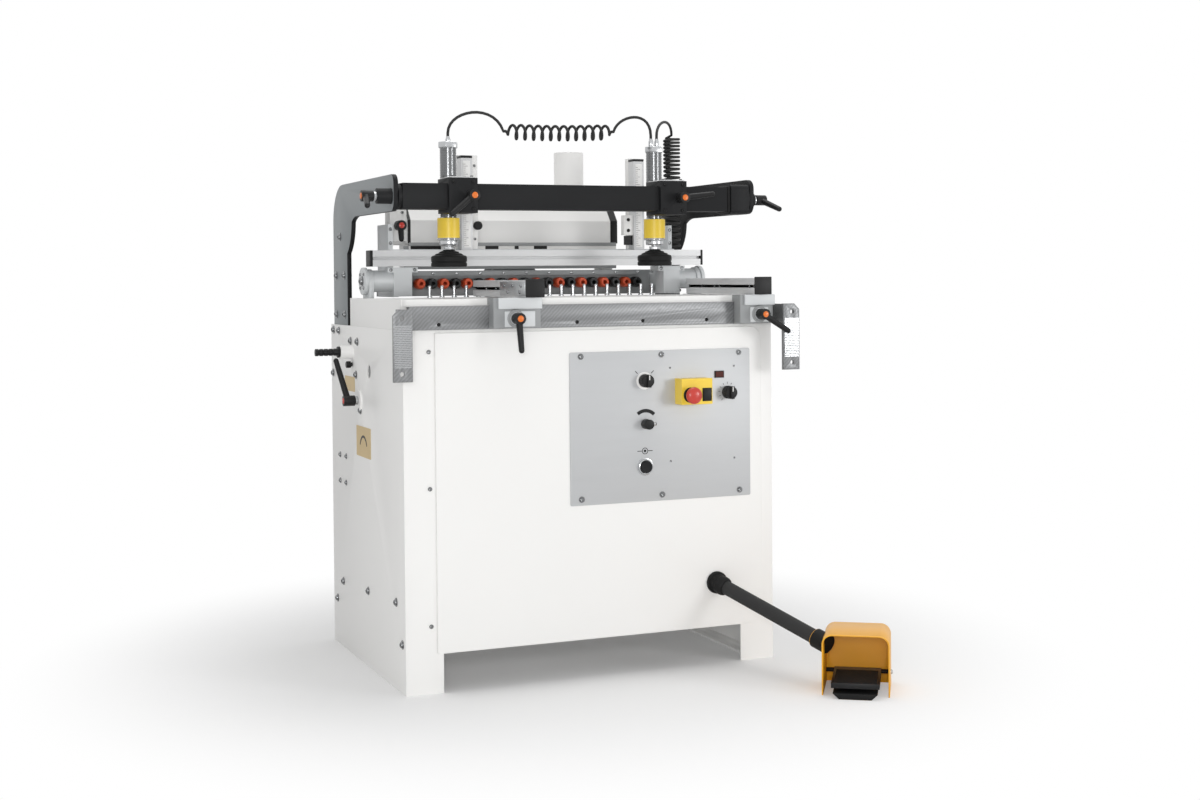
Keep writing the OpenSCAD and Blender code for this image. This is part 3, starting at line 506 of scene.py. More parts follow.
def hose_rubber():
    return finish(
        "hose_rubber", "rubber", 0.42, grain=350, relief=0.12, mottle=0.2, cloud=20, specular=0.2
    )


def black_plastic():
    return finish(
        "black_plastic", "plastic", 0.42, grain=1400, relief=0.25, mottle=0.12, cloud=30, specular=0.25
    )


def stop_plastic():
    return finish("stop_plastic", "stop_red", 0.3, grain=900, relief=0.04, mottle=0.05, coat=0.3)


def chuck_red_coat():
    return finish("chuck_red_coat", "chuck_red", 0.34, 0.2, grain=900, relief=0.06, mottle=0.08)


def chuck_black_coat():
    return finish("chuck_black_coat", "chuck_black", 0.3, 0.4, grain=900, relief=0.06, mottle=0.15)


def orange_plastic():
    return finish("orange_plastic", "orange", 0.35, grain=900, relief=0.05, mottle=0.05, coat=0.2)


def tan_print():
    return finish("tan_print", "tan", 0.4, grain=700, relief=0.03, mottle=0.06, cloud=30)


def display_glass():
    return finish(
        "display_glass", "display", 0.3, grain=900, relief=0.01, mottle=0.3, cloud=90, specular=0.2
    )


# Routes of the hoses, which follow those of the solid model

LEAD_STEPS = 14
LEAD_STRAIGHT = 8
AIR_RADIUS = 3.5
AIR_CURL_RADIUS = 17
AIR_CURLS = 13
AIR_SAG = 4
SUPPLY_CURL_RADIUS = 20
SUPPLY_CURLS = 34
BLEND_CURLS = 1.2
CURL_EASE = 18
LOOSENING_SHARE = 0.4
AIR_START = (-165, 172, 1306)
AIR_END = (126, 172, 1312)
AIR_LEAD_LEFT = ((-306, 172, 1298), (-306, 172, 1353), (-190, 172, 1377), AIR_START)
AIR_LEAD_RIGHT = (AIR_END, (138, 172, 1355), (228, 172, 1373), (228, 172, 1305))
SUPPLY_START = (420, 455, 1334)
SUPPLY_END = (420, 455, 862)
SUPPLY_FOOT = (420, 455, 850)
SUPPLY_LEAD = ((244, 172, 1305), (244, 172, 1348), (420, 455, 1385), SUPPLY_START)
PEDAL_AT = (452, -423)
PEDAL_TURN = math.radians(-34)
PEDAL_HOSE_RADIUS = 17
PEDAL_HOSE_STEPS = 16
HOSE_START = (315, -4, 200)
HOSE_PORT = (-76, 70, 106)
BOOT_LENGTH = 34
PORT_LENGTH = 24
RUNNING_FIT = 0.05
BEVEL_STEPS = 4


def pedal_point(x, y, z):
    """Point in metres from millimetres in the pedal's own turned frame."""
    turned_point = Matrix.Rotation(PEDAL_TURN, 3, "Z") @ Vector((x, y, z))
    return place(PEDAL_AT[0] + turned_point.x, PEDAL_AT[1] + turned_point.y, turned_point.z)


def bezier(points, t):
    a, b, c, d = (Vector(p) for p in points)
    return a * (1 - t) ** 3 + b * 3 * t * (1 - t) ** 2 + c * 3 * t**2 * (1 - t) + d * t**3


def lead(points):
    return [bezier(points, k / LEAD_STEPS) for k in range(LEAD_STEPS + 1)]


def curl_share(curl, curls):
    """Share of the full radius, which grows and shrinks over the first and last curls."""
    u = min(1, curl / BLEND_CURLS, (curls - curl) / BLEND_CURLS)
    return u * u * (3 - 2 * u)


def coil(curls, radius, first):
    """Steps of a coil: the share of its length, and how far it stands off its axis in two directions."""
    per_curl = sizes().curl_steps
    steps = curls * per_curl
    for i in range(first, steps - first + 1):
        r = radius * curl_share(i / per_curl, curls)
        a = math.tau * i / per_curl
        yield i / steps, r * math.sin(a), r * math.cos(a)


def air_route():
    curls = []
    for t, s, c in coil(AIR_CURLS, AIR_CURL_RADIUS, 1):
        sag = AIR_SAG * 4 * t * (1 - t)
        curls.append(Vector(AIR_START).lerp(Vector(AIR_END), t) + Vector((0, -s, c - sag)))
    drop = UP * LEAD_STRAIGHT
    left, right = lead(AIR_LEAD_LEFT), lead(AIR_LEAD_RIGHT)
    return [left[0] - drop] + left + curls + right + [right[-1] - drop]


def supply_route():
    curls = []
    for t, s, c in coil(SUPPLY_CURLS, SUPPLY_CURL_RADIUS, CURL_EASE):
        fall = t * (1 - LOOSENING_SHARE) + t * t * LOOSENING_SHARE
        curls.append(Vector(SUPPLY_START).lerp(Vector(SUPPLY_END), fall) + Vector((s, c, 0)))
    first = lead(SUPPLY_LEAD)
    return [first[0] - UP * LEAD_STRAIGHT] + first + curls + [Vector(SUPPLY_END), Vector(SUPPLY_FOOT)]


def pedal_hose_way():
    return (pedal_point(*HOSE_PORT) - place(*HOSE_START)).normalized()


def pedal_hose_route():
    """Straight stiff hose from the end of the boot to the end of the port."""
    start = place(*HOSE_START) + pedal_hose_way() * (BOOT_LENGTH + RUNNING_FIT) * MM
    end = pedal_point(*HOSE_PORT) - pedal_hose_way() * (PORT_LENGTH + RUNNING_FIT) * MM
    return [start.lerp(end, k / PEDAL_HOSE_STEPS) for k in range(PEDAL_HOSE_STEPS + 1)]


def tube(name, route, radius):
    """Mesh tube along a route, with a ring at each of its points."""
    data = bpy.data.curves.new(name, "CURVE")
    data.dimensions = "3D"
    data.bevel_depth = radius
    data.bevel_resolution = BEVEL_STEPS
    data.use_fill_caps = True
    spline = data.splines.new("POLY")
    spline.points.add(len(route) - 1)
    for point, target in zip(route, spline.points):
        target.co = (*point, 1)
    spline.use_smooth = True
    line = bpy.data.objects.new(name + "_line", data)
    mesh = bpy.data.meshes.new_from_object(line)
    bpy.data.objects.remove(line)
    return mesh


def hose(node, name, route, radius, stiffness, lay, bodies, settled=None):
    """Hose that rides on a body, or, where a settled point is given, has its place baked into the mesh
    and rides on no body.
    """
    radius *= MM
    mesh = tube(name, route, radius)
    mesh.materials.clear()
    mesh.materials.append(hose_rubber())
    obj = bpy.data.objects.new(name, mesh)
    bpy.context.scene.collection.objects.link(obj)
    if settled:
        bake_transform(obj)
    else:
        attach(obj, *bodies)
    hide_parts(node)


class BORING_OT_hoses(bpy.types.Operator):
    """Coiled air hoses and the stiff pedal hose"""

    bl_idname = "boring.hoses"
    bl_label = "Hoses"

    def execute(self, context):
        air = [place(*p) for p in air_route()]
        coiled = (AIR_RADIUS, "medium", "coiled")
        hose("air_coil", "air_coil_hose", air, *coiled, ("left_carriage", "beam"), air[-1])
        supply = [place(*p) for p in supply_route()]
        settled = supply[0].copy()
        settled.y = place(*SUPPLY_START).y - SUPPLY_CURL_RADIUS * MM
        hose("supply_coil", "supply_coil_hose", supply, *coiled, ("beam", "frame"), settled)
        stiff = (PEDAL_HOSE_RADIUS, "stiff", "taut")
        hose("pedal_hose", "pedal_hose_tube", pedal_hose_route(), *stiff, ("frame",))
        return {"FINISHED"}


# Stage: places in metres, lens and sensor in millimetres

CAMERA_AT = (-1.5261, -3.981, 0.9519)
CAMERA_YAW = math.radians(22.9)
CAMERA_PITCH = math.radians(1.07)
CAMERA_ROLL = math.radians(0.49)
CAMERA_LENS = 49.97
CAMERA_SENSOR = 36
CAMERA_SHIFT = (-0.0004, -0.077)
FLOOR_HALF = 9.0
FLOOR_ROUGHNESS = 0.85
FLOOR_SPECULAR = 0.1
FADE_START = 0.6
FADE_END = 1.35
WHITE = (1, 1, 1, 1)
WORLD_STRENGTH = 0.52
LAMPS = (
    ("key_lamp", (-1.8, -4.4, 1.1), (0, 0, 0.9), 1.1, 50),
    ("fill_lamp", (3.0, -3.9, 1.1), (0, 0, 0.9), 1.2, 38),
    ("top_lamp", (0.2, 0.1, 4.2), (0, 0, 0.8), 2.6, 46),
)


def white_for_camera(tree, shader):
    """Shows plain white to the camera and to mirrors, and keeps the shader for the light."""
    join = tree.links.new
    path = add_node(tree, "LightPath")
    seen = path.outputs["Is Camera Ray"]
    for ray in ("Is Glossy Ray", "Is Transmission Ray"):
        either = add_node(tree, "Math")
        either.operation = "MAXIMUM"
        join(seen, either.inputs[0])
        join(path.outputs[ray], either.inputs[1])
        seen = either.outputs["Value"]
    glow = add_node(tree, "Background", Color=WHITE, Strength=1)
    mix = add_node(tree, "MixShader")
    join(seen, mix.inputs["Fac"])
    join(shader.outputs[0], mix.inputs[1])
    join(glow.outputs[0], mix.inputs[2])
    return mix


def floor_finish():
    """Pale floor that fades to plain white away from the machine."""
    material = bpy.data.materials.new("studio_floor")
    material.use_nodes = True
    tree = material.node_tree
    join = tree.links.new
    shader = tree.nodes["Principled BSDF"]
    shader.inputs["Base Color"].default_value = (*colours().floor, 1)
    shader.inputs["Roughness"].default_value = FLOOR_ROUGHNESS
    shader.inputs["Specular IOR Level"].default_value = FLOOR_SPECULAR
    coords = add_node(tree, "TexCoord")
    reach = add_node(tree, "VectorMath")
    reach.operation = "LENGTH"
    join(coords.outputs["Object"], reach.inputs[0])
    fade = add_node(tree, "MapRange", From_Min=FADE_START, From_Max=FADE_END)
    fade.interpolation_type = "SMOOTHSTEP"
    join(reach.outputs["Value"], fade.inputs["Value"])
    path = add_node(tree, "LightPath")
    seen = add_node(tree, "Math")
    seen.operation = "MULTIPLY"
    join(fade.outputs["Result"], seen.inputs[0])
    join(path.outputs["Is Camera Ray"], seen.inputs[1])
    glow = add_node(tree, "Emission")
    mix = add_node(tree, "MixShader")
    join(seen.outputs["Value"], mix.inputs["Fac"])
    join(shader.outputs["BSDF"], mix.inputs[1])
    join(glow.outputs["Emission"], mix.inputs[2])
    join(mix.outputs["Shader"], tree.nodes["Material Output"].inputs["Surface"])
    return material


def add_lamp(name, position, target, diameter, power):
    data = bpy.data.lights.new(name, "AREA")
    data.shape = "DISK"
    data.size = diameter
    data.energy = power
    lamp = bpy.data.objects.new(name, data)
    bpy.context.scene.collection.objects.link(lamp)
    lamp.location = position
    lamp.rotation_euler = (Vector(target) - Vector(position)).to_track_quat("-Z", "Y").to_euler()


class BORING_OT_stage(bpy.types.Operator):
    """Camera, floor, world and lamps"""

    bl_idname = "boring.stage"
    bl_label = "Stage"

    def execute(self, context):
        context.scene.view_settings.view_transform = "Standard"
        self.camera(context.scene)
        self.floor(context.scene)
        self.world(context.scene)
        for lamp in LAMPS:
            add_lamp(*lamp)
        return {"FINISHED"}

    def camera(self, scene):
        data = bpy.data.cameras.new("photo_camera")
        data.sensor_width = CAMERA_SENSOR
        data.lens = CAMERA_LENS
        data.shift_x, data.shift_y = CAMERA_SHIFT
        camera = bpy.data.objects.new("photo_camera", data)
        scene.collection.objects.link(camera)
        heading = Matrix.Rotation(-CAMERA_YAW, 4, "Z")
        tilt = Matrix.Rotation(math.pi / 2 - CAMERA_PITCH, 4, "X")
        roll = Matrix.Rotation(-CAMERA_ROLL, 4, "Z")
        camera.matrix_world = Matrix.Translation(CAMERA_AT) @ heading @ tilt @ roll
        scene.camera = camera

    def floor(self, scene):
        bm = bmesh.new()
        bmesh.ops.create_grid(bm, x_segments=1, y_segments=1, size=FLOOR_HALF)
        mesh = bpy.data.meshes.new("studio_floor")
        bm.to_mesh(mesh)
        bm.free()
        mesh.materials.append(floor_finish())
        floor = bpy.data.objects.new("studio_floor", mesh)
        scene.collection.objects.link(floor)

    def world(self, scene):
        world = bpy.data.worlds.new("studio_world")
        scene.world = world
        world.use_nodes = True
        tree = world.node_tree
        back = tree.nodes["Background"]
        back.inputs["Color"].default_value = WHITE
        back.inputs["Strength"].default_value = WORLD_STRENGTH
        mix = white_for_camera(tree, back)
        tree.links.new(mix.outputs[0], tree.nodes["World Output"].inputs["Surface"])


# Cabinet and cover

PANEL_BOLTS = (
    *((644, 819), (587, 818), (468, 795), (402, 795), (651, 706), (418, 712)),
    *((378, 626), (567, 171), (322, 187), (630, 117), (74, 203), (25, 114)),
)
PANEL_SCREWS = ((587, 497), (525, 498), (588, 430), (528, 430))
FLANGE_SCREWS = ((-412, 0, 783), (-412, 0, 470), (-412, 0, 155))
SMALL_PLATE = ((432, 529), (668, 705))
LARGE_PLATE = ((284, 419), (512, 587))
PLATE_THICKNESS = 0.6
PLATE_CORNER = 3
ARC_RADII = (30, 36)
ARC_RISE = 18
ARC_START = 0.35
ARC_SWEEP = 2 * ARC_START - math.pi
ARC_THICKNESS = 0.3
REAR = 670
REAR_COVER = ((-390, 390), (130, 560))
REAR_SHEET = 1.5
REAR_CORNER = 14
REAR_SCREWS = [(x, REAR + REAR_SHEET, z) for x in (-374, 0, 374) for z in (146, 544)]
LOUVRES = [(x, REAR, 270 + 19 * k) for x in (-230, 230) for k in range(9)]
LOUVRE_LIP = ((-72, 1.4, 4), (72, 6, 10))
LOUVRE_EDGE = 1.8
LOUVRE_SHADE = ((-70, 1.4, 0), (70, 1.9, 4))


class BORING_OT_cabinet(bpy.types.Operator):
    """Sheet cabinet with its bolts and plates"""

    bl_idname = "boring.cabinet"
    bl_label = "Cabinet"

    def execute(self, context):
        dressed("cabinet", white_coat(), "frame", size("edge"))
        self.fasteners()
        self.plates()
        self.rear_cover()
        return {"FINISHED"}

    def fasteners(self):
        groups = [
            ([(way * SIDE, *at) for at in PANEL_BOLTS], RIGHT * way, size("bolt"), True) for way in BOTH
        ]
        left = [(-SIDE, *at) for at in PANEL_SCREWS]
        groups += [(left, -RIGHT, size("screw"), True), (FLANGE_SCREWS, -BACK, size("screw"))]
        piece("panel_bolts", screws(*groups), dark_steel(), "frame")

    def plates(self):
        bm = bmesh.new()
        for limits in (SMALL_PLATE, LARGE_PLATE):
            outline = [place(-SIDE, *at) for at in oblong(*limits)]
            add_plate(bm, outline, -RIGHT * PLATE_THICKNESS * MM, PLATE_CORNER)
        piece("tan_plates", bm, tan_print(), "frame")
        depths, heights = LARGE_PLATE
        middle = place(-SIDE - PLATE_THICKNESS, sum(depths) / 2, heights[0] + ARC_RISE)
        start = Vector((0, -math.cos(ARC_START), math.sin(ARC_START)))
        bm = bmesh.new()
        add_band(bm, middle, RIGHT, start, ARC_RADII, ARC_SWEEP, -RIGHT * ARC_THICKNESS * MM)
        piece("arc_arrow", bm, black_plastic(), "frame")

    def rear_cover(self):
        bm = bmesh.new()
        outline = [place(x, REAR, z) for x, z in oblong(*REAR_COVER)]
        add_plate(bm, outline, BACK * REAR_SHEET * MM, REAR_CORNER)
        piece("rear_cover", bm, white_coat(), "frame", edge=FINE_EDGE)
        lips = add_boxes(bmesh.new(), LOUVRES, LOUVRE_LIP)
        piece("louvre_lips", lips, white_coat(), "frame", edge=LOUVRE_EDGE, steps=3)
        # Black boxes under the louvre lips are painted shade in the vent openings.
        slots = add_boxes(bmesh.new(), LOUVRES, LOUVRE_SHADE)
        piece("louvre_slots", slots, black_plastic(), "frame")
        bm = screws((REAR_SCREWS, BACK, size("screw"), True))
        piece("rear_screws", bm, dark_steel(), "frame")


COVER_FRONT = -4
COVER_CORNER = 30
RIGHT_CORNERS = (1, 2)
GLAND_FLANGE = ((0, 0), (27, 0), (27, 6), (25.5, 8), (0, 8))
GLAND_BOOT = (
    *((0, -2), (23, -2), (23, 9), (22, 10.5), (22, 13)),
    *((23, 14.5), (23, 26), (21.5, 31), (19, 34), (0, 34)),
)


class BORING_OT_cover(bpy.types.Operator):
    """Front cover plate and the hose gland in it"""

    bl_idname = "boring.cover"
    bl_label = "Front cover"

    def execute(self, context):
        low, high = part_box("front_cover")
        corners = oblong((low[0], high[0]), (low[2], high[2]))
        bm = bmesh.new()
        outline = [Vector((x, FRONT, z)) for x, z in corners]
        add_plate(bm, outline, BACK * COVER_FRONT * MM, COVER_CORNER, RIGHT_CORNERS)
        soften(bm, MOULDED_EDGE, 3)
        piece("cover_plate", bm, white_coat(), "frame", "front_cover")
        bm = turned(GLAND_FLANGE, place(*HOSE_START), -BACK)
        add_lathe(bm, GLAND_BOOT, place(*HOSE_START), pedal_hose_way())
        piece("hose_gland", bm, black_rubber(), "frame")
        return {"FINISHED"}


# Control plate and controls

CONTROL_X = (-69, 409)
CONTROL_Z = (410, 773)
CONTROL_FRONT = -7
CONTROL_CORNER = 4
CONTROL_EDGE = 0.6
CONTROL_SCREWS = [(x, CONTROL_FRONT, z) for x in (-41, 169, 379) for z in (763, 424.5)]
SMALL_SCREWS = [(x, CONTROL_FRONT, z) for z in (730, 504) for x in (192, 365)]
SMALL_SCREW = 2.6
KNOB_STEM = 4
STEM_LENGTH = 14
SWITCH_FRONT = -45
SWITCH_BOX = ((205.05, SWITCH_FRONT, 642.05), (286.95, -4.5, 703.95))
SWITCH_EDGE = 2.5
SWITCH_TRIM = (
    ((262, -49, 651), (283, SWITCH_FRONT, 679)),
    ((260, -46.4, 649), (285, SWITCH_FRONT, 681)),
    ((312, -10, 702), (337, CONTROL_FRONT, 719)),
)
DISPLAY = ((314, 335), (704, 717))
DISPLAY_FRONT = -10
DISPLAY_THICKNESS = 0.4
DISPLAY_CORNER = 1
STOP_AT = (228, 665)
SELECTOR_AT = (124, 701)
TIMER_AT = (347, 666)
REGULATOR_AT = (126, 597)
PUSH_AT = (124, 494)
PUSH_MARK_AT = (124, 532)
STOP_RING = ((13.6, 0), (13.6, 3), (17, 3), (18.5, 1.6), (18.5, 0))
PUSH_RING = ((14.9, 0), (14.9, 6), (16.5, 6.4), (18.4, 5.4), (19, 4), (19, 1.2), (21, 0.8), (21, 0))
SELECTOR_BEZEL = ((16, 0), (16, 0.9), (20, 0.9), (21, 0.4), (21, 0))
PRINT = 0.25
REGULATOR_MARK = (27.5, 36)
REGULATOR_MARK_START = -0.7
REGULATOR_MARK_SWEEP = 1.5
TIMER_TURNS = [math.radians(-140 + 28 * k) for k in range(11)]
TIMER_TICK = ((20, 25), 1.1)
SELECTOR_TURN = 0.8
SELECTOR_TICK = ((25, 34), 1.6)
PUSH_TURN = math.pi / 2
PUSH_TICK = ((8, 20), 1.6)
PUSH_MARK_RINGS = ((6.4, 8), (0.2, 3.4))


def front_point(at, depth):
    return place(at[0], depth, at[1])


def front_way(angle):
    """Direction on the control plate, turned clockwise from straight up."""
    return Vector((math.sin(angle), 0, math.cos(angle)))


def front_plate(x, z, depth, thickness, corner):
    """Upright plate that faces the operator."""
    bm = bmesh.new()
    outline = [front_point(at, depth) for at in oblong(x, z)]
    add_plate(bm, outline, -BACK * thickness * MM, corner)
    return bm


def add_tick(bm, at, angle, reach, width):
    """Printed line on the control plate that points away from a middle."""
    along = front_way(angle)
    across = Vector((along.z, 0, -along.x)) * width * MM / 2
    near, far = (front_point(at, CONTROL_FRONT) + along * r * MM for r in reach)
    add_plate(bm, [near - across, near + across, far + across, far - across], -BACK * PRINT * MM)


class BORING_OT_control_plate(bpy.types.Operator):
    """Control plate with the switch box, the display and the printed marks"""

    bl_idname = "boring.control_plate"
    bl_label = "Control plate"

    def execute(self, context):
        sheet = COVER_FRONT - CONTROL_FRONT
        bm = front_plate(CONTROL_X, CONTROL_Z, COVER_FRONT, sheet, CONTROL_CORNER)
        piece("control_sheet", bm, plate_coat(), "frame", "control_plate", edge=CONTROL_EDGE)
        bm = screws((CONTROL_SCREWS, -BACK, size("screw"), True), (SMALL_SCREWS, -BACK, SMALL_SCREW))
        for x, z in (SELECTOR_AT, TIMER_AT, REGULATOR_AT):
            add_rod(bm, (x, COVER_FRONT, z), (x, CONTROL_FRONT - STEM_LENGTH, z), KNOB_STEM)
        piece("control_screws", bm, dark_steel(), "frame")
        bm = cut_out("control_plate", *SWITCH_BOX)
        piece("switch_box", bm, signal_coat(), "frame", edge=SWITCH_EDGE, steps=3)
        bm = turned(STOP_RING, front_point(STOP_AT, SWITCH_FRONT), -BACK, closed=True)
        for corners in SWITCH_TRIM:
            add_box(bm, *corners)
        piece("switch_trim", bm, black_plastic(), "frame", edge=SHEET_EDGE)
        bm = front_plate(*DISPLAY, DISPLAY_FRONT, DISPLAY_THICKNESS, DISPLAY_CORNER)
        piece("display_window", bm, display_glass(), "frame")
        bm = turned(PUSH_RING, front_point(PUSH_AT, CONTROL_FRONT), -BACK, closed=True)
        piece("push_ring", bm, bright_steel(), "frame")
        bm = turned(SELECTOR_BEZEL, front_point(SELECTOR_AT, CONTROL_FRONT), -BACK, closed=True)
        piece("selector_bezel", bm, white_coat(), "frame")
        self.marks()
        return {"FINISHED"}

    def marks(self):
        bm = bmesh.new()
        lift = -BACK * PRINT * MM
        middle, start = front_point(REGULATOR_AT, CONTROL_FRONT), front_way(REGULATOR_MARK_START)
        add_band(bm, middle, BACK, start, REGULATOR_MARK, REGULATOR_MARK_SWEEP, lift)
        for turn in TIMER_TURNS:
            add_tick(bm, TIMER_AT, turn, *TIMER_TICK)
        for side in BOTH:
            add_tick(bm, SELECTOR_AT, side * SELECTOR_TURN, *SELECTOR_TICK)
            add_tick(bm, PUSH_MARK_AT, side * PUSH_TURN, *PUSH_TICK)
        for radii in PUSH_MARK_RINGS:
            add_band(bm, front_point(PUSH_MARK_AT, CONTROL_FRONT), BACK, UP, radii, math.tau, lift)
        piece("control_marks", bm, black_plastic(), "frame")


STOP_STAND_OFF = 14
STOP_HEAD = (
    *((0, 16), (7, 15.8), (13, 14.6), (18, 12), (20.1, 8.6)),
    *((20.5, 5.4), (19.8, 2.6), (17, 0.6), (13, 0), (0, 0)),
)
STOP_STEM = ((0, 0.2), (13, 0.2), (13, -5), (12, -6), (12, -8), (13, -9), (13, -28), (0, -28))
KNOB_MARKER = ((-1, -31, 3), (1, -30, 14))
FLUTES = 24
FLUTE_CIRCLE = 15
FLUTE_RADIUS = 0.9
FLUTE_STEPS = 8
FLUTE_DEPTHS = (CONTROL_FRONT - 1.5, CONTROL_FRONT - 20)
REGULATOR_STUB = ((0, 9.5), (2.5, 9.3), (4.4, 7.5), (4.4, 3), (5.4, 2.6), (5.4, 0), (0, 0))
REGULATOR_STUB_AT = (REGULATOR_AT[0] + 13, CONTROL_FRONT - 12.3, REGULATOR_AT[1])
PUSH_CAP_FRONT = CONTROL_FRONT - 1
PUSH_CAP = ((0, 10), (9, 10.4), (13, 10.8), (14.2, 10.2), (14.5, 9), (14.5, 4.2), (0, 4.2))


class BORING_OT_controls(bpy.types.Operator):
    """Stop button, knobs and push button"""

    bl_idname = "boring.controls"
    bl_label = "Controls"

    def execute(self, context):
        base = front_point(STOP_AT, SWITCH_FRONT - STOP_STAND_OFF)
        bm = turned(STOP_HEAD, base, -BACK, FINE_STEPS)
        piece("stop_head", bm, stop_plastic(), "stop_button", "stop_button")
        piece("stop_stem", turned(STOP_STEM, base, -BACK), black_plastic(), "stop_button")
        self.fluted_knob("selector_knob", *SELECTOR_AT)
        self.fluted_knob("timer_knob", *TIMER_AT)
        dressed("regulator_knob", black_plastic(), "regulator_knob", BLOCK_EDGE)
        bm = turned(REGULATOR_STUB, place(*REGULATOR_STUB_AT), RIGHT)
        piece("regulator_stub", bm, bright_steel(), "regulator_knob")
        bm = turned(PUSH_CAP, front_point(PUSH_AT, PUSH_CAP_FRONT), -BACK)
        piece("push_cap", bm, charcoal_coat(), "push_button", "push_button")
        return {"FINISHED"}

    def fluted_knob(self, node, x, z):
        dressed(node, black_plastic(), node, BLOCK_EDGE)
        bm = add_boxes(bmesh.new(), [(x, CONTROL_FRONT, z)], KNOB_MARKER)
        piece(node + "_marker", bm, white_coat(), node)
        bm = bmesh.new()
        for k in range(FLUTES):
            way = front_way(math.tau * k / FLUTES) * FLUTE_CIRCLE
            ends = ((x + way.x, depth, z + way.z) for depth in FLUTE_DEPTHS)
            add_rod(bm, *ends, FLUTE_RADIUS, FLUTE_STEPS)
        piece(node + "_flutes", bm, black_plastic(), node)


# Table, rail and side fences

TABLE_TOP = 903
PITCH = 32
STOP_PINS = 20
PIN_DEPTH = 339
PIN_CUT = TABLE_TOP + 1
PIN_STEPS = 24
PIN = ((0, 30), (2.6, 30), (4.2, 28.6), (4.5, 27), (4.5, 3), (6.5, 2.6), (6.5, 0), (0, 0))


def row(count):
    """Places across the machine at the spindle pitch."""
    return [(i - (count - 1) / 2) * PITCH for i in range(count)]


class BORING_OT_table(bpy.types.Operator):
    """Table plate with its wings and the row of stop pins"""

    bl_idname = "boring.table"
    bl_label = "Table"

    def execute(self, context):
        bm = cad_shape("table")
        pins = [v for v in bm.verts if v.co.z > PIN_CUT * MM]
        bmesh.ops.delete(bm, geom=pins, context="VERTS")
        close(bm)
        flatten(bm)
        bmesh.ops.recalc_face_normals(bm, faces=bm.faces)
        soften(bm, BLOCK_EDGE, 3)
        piece("table_plate", bm, white_coat(), "frame", "table")
        bm = bmesh.new()
        for x in row(STOP_PINS):
            add_lathe(bm, PIN, place(x, PIN_DEPTH, TABLE_TOP), UP, PIN_STEPS)
        piece("stop_pins", bm, bright_steel(), "frame")
        return {"FINISHED"}


RAIL_SCREWS = [(-390 + 170 * i, -7.5, 845) for i in range(5)]
RAIL_SCREW = 4
RAIL_RING = ((4.6, 0), (6.8, 0), (6.8, 1.4), (6.2, 1.8), (4.6, 1.8))
BRACKET_RIBS = [(x, 0, 752 + 4 * k) for x in (-512, 473) for k in range(24)]
BRACKET_RIB = ((0, -70.7, 0), (39, -69.5, 2.2))


class BORING_OT_rail(bpy.types.Operator):
    """Machined rail under the table edge with its drop brackets"""

    bl_idname = "boring.rail"
    bl_label = "Front rail"

    def execute(self, context):
        dressed("front_rail", rail_steel(), "frame", size("edge"))
        piece("rail_screws", screws((RAIL_SCREWS, -BACK, RAIL_SCREW)), black_plastic(), "frame")
        bm = bmesh.new()
        for at in RAIL_SCREWS:
            add_lathe(bm, RAIL_RING, place(*at), -BACK, SMALL_STEPS, closed=True)
        add_boxes(bm, BRACKET_RIBS, BRACKET_RIB)
        piece("bracket_ribs", bm, bright_steel(), "frame")
        return {"FINISHED"}


SIDE_FENCES = (("left", -195, (-270, -155), -217), ("right", 398, (365, 455), 416))
FENCE_PROFILE = ((-1, -59.9, 905.05), (41, 330, 960))
FENCE_CAP = ((-3, -65, 905), (43, -59.9, 948))
GROOVE_SHADE = ((10, -58, 920.9), (11, 328, 929.1))
FACE_PLATE_EDGE = 0.8
FACE_PLATE = ((-2.6, -56, 909), (0, 116, 942))
PLATE_SCREWS = [(-2.5, *at) for at in ((-30, 932), (28, 932), (86, 932), (-22, 917), (60, 917))]
PLATE_SCREW = 4.2
GROOVE_SCREWS = [(9.9, depth, 925) for depth in (-36, -12, 150, 178, 250)]
GROOVE_SCREW = 3.6
SHELF = ((10, -51, 879), (2, -43.5, 904.9))
SHELF_RIB = ((26, -47, 838), (-14, -43.5, 874))
CASTING = ((-1, -80, 800), (1, 0, 904.95))
CASTING_FRONT = -44
LEVER_HEIGHT = 857
LEVER_SEAT = ((14.5, 0), (14.5, 5), (18, 5), (20.5, 3.6), (21.5, 0))


class BORING_OT_side_fences(bpy.types.Operator):
    """Grooved side fences on their castings"""

    bl_idname = "boring.side_fences"
    bl_label = "Side fences"

    def execute(self, context):
        for name, x, limits, lever in SIDE_FENCES:
            self.casting(name, x, limits, lever)
            self.trim(name + "_fence", x)
        left = (SIDE_FENCES[0][1], 0, 0)
        bm = add_boxes(bmesh.new(), [left], FACE_PLATE)
        paint = machined_steel()
        piece("left_fence_plate", bm, paint, "left_fence", edge=FACE_PLATE_EDGE)
        return {"FINISHED"}

    def casting(self, name, x, limits, lever):
        node, body = name + "_side_fence", name + "_fence"
        bm = cut_out(node, *moved(FENCE_PROFILE, (x, 0, 0)))
        piece(body + "_profile", bm, profile_alloy(), body, node, edge=SHEET_EDGE)
        bm = boxes(between(limits, SHELF), between(limits, SHELF_RIB))
        piece(body + "_shelf", bm, head_coat(), body, edge=CAP_EDGE, steps=3)
        bm = cut_out(node, *between(limits, CASTING))
        soften(bm, size("soft_edge"), 3)
        add_lathe(bm, LEVER_SEAT, place(lever, CASTING_FRONT, LEVER_HEIGHT), -BACK, closed=True)
        piece(body + "_casting", bm, casting_coat(), body)

    def trim(self, body, x):
        bm = add_boxes(bmesh.new(), [(x, 0, 0)], FENCE_CAP)
        piece(body + "_cap", bm, black_plastic(), body, edge=CAP_EDGE, steps=3)
        plate = PLATE_SCREWS if body == "left_fence" else ()
        bm = screws((plate, -RIGHT, PLATE_SCREW), (GROOVE_SCREWS, -RIGHT, GROOVE_SCREW), x=x)
        piece(body + "_screws", bm, dark_steel(), body)
        # A black strip along the bottom of the groove is painted shade.
        bm = add_boxes(bmesh.new(), [(x, 0, 0)], GROOVE_SHADE)
        piece(body + "_slot", bm, black_rubber(), body)


# Clamp levers

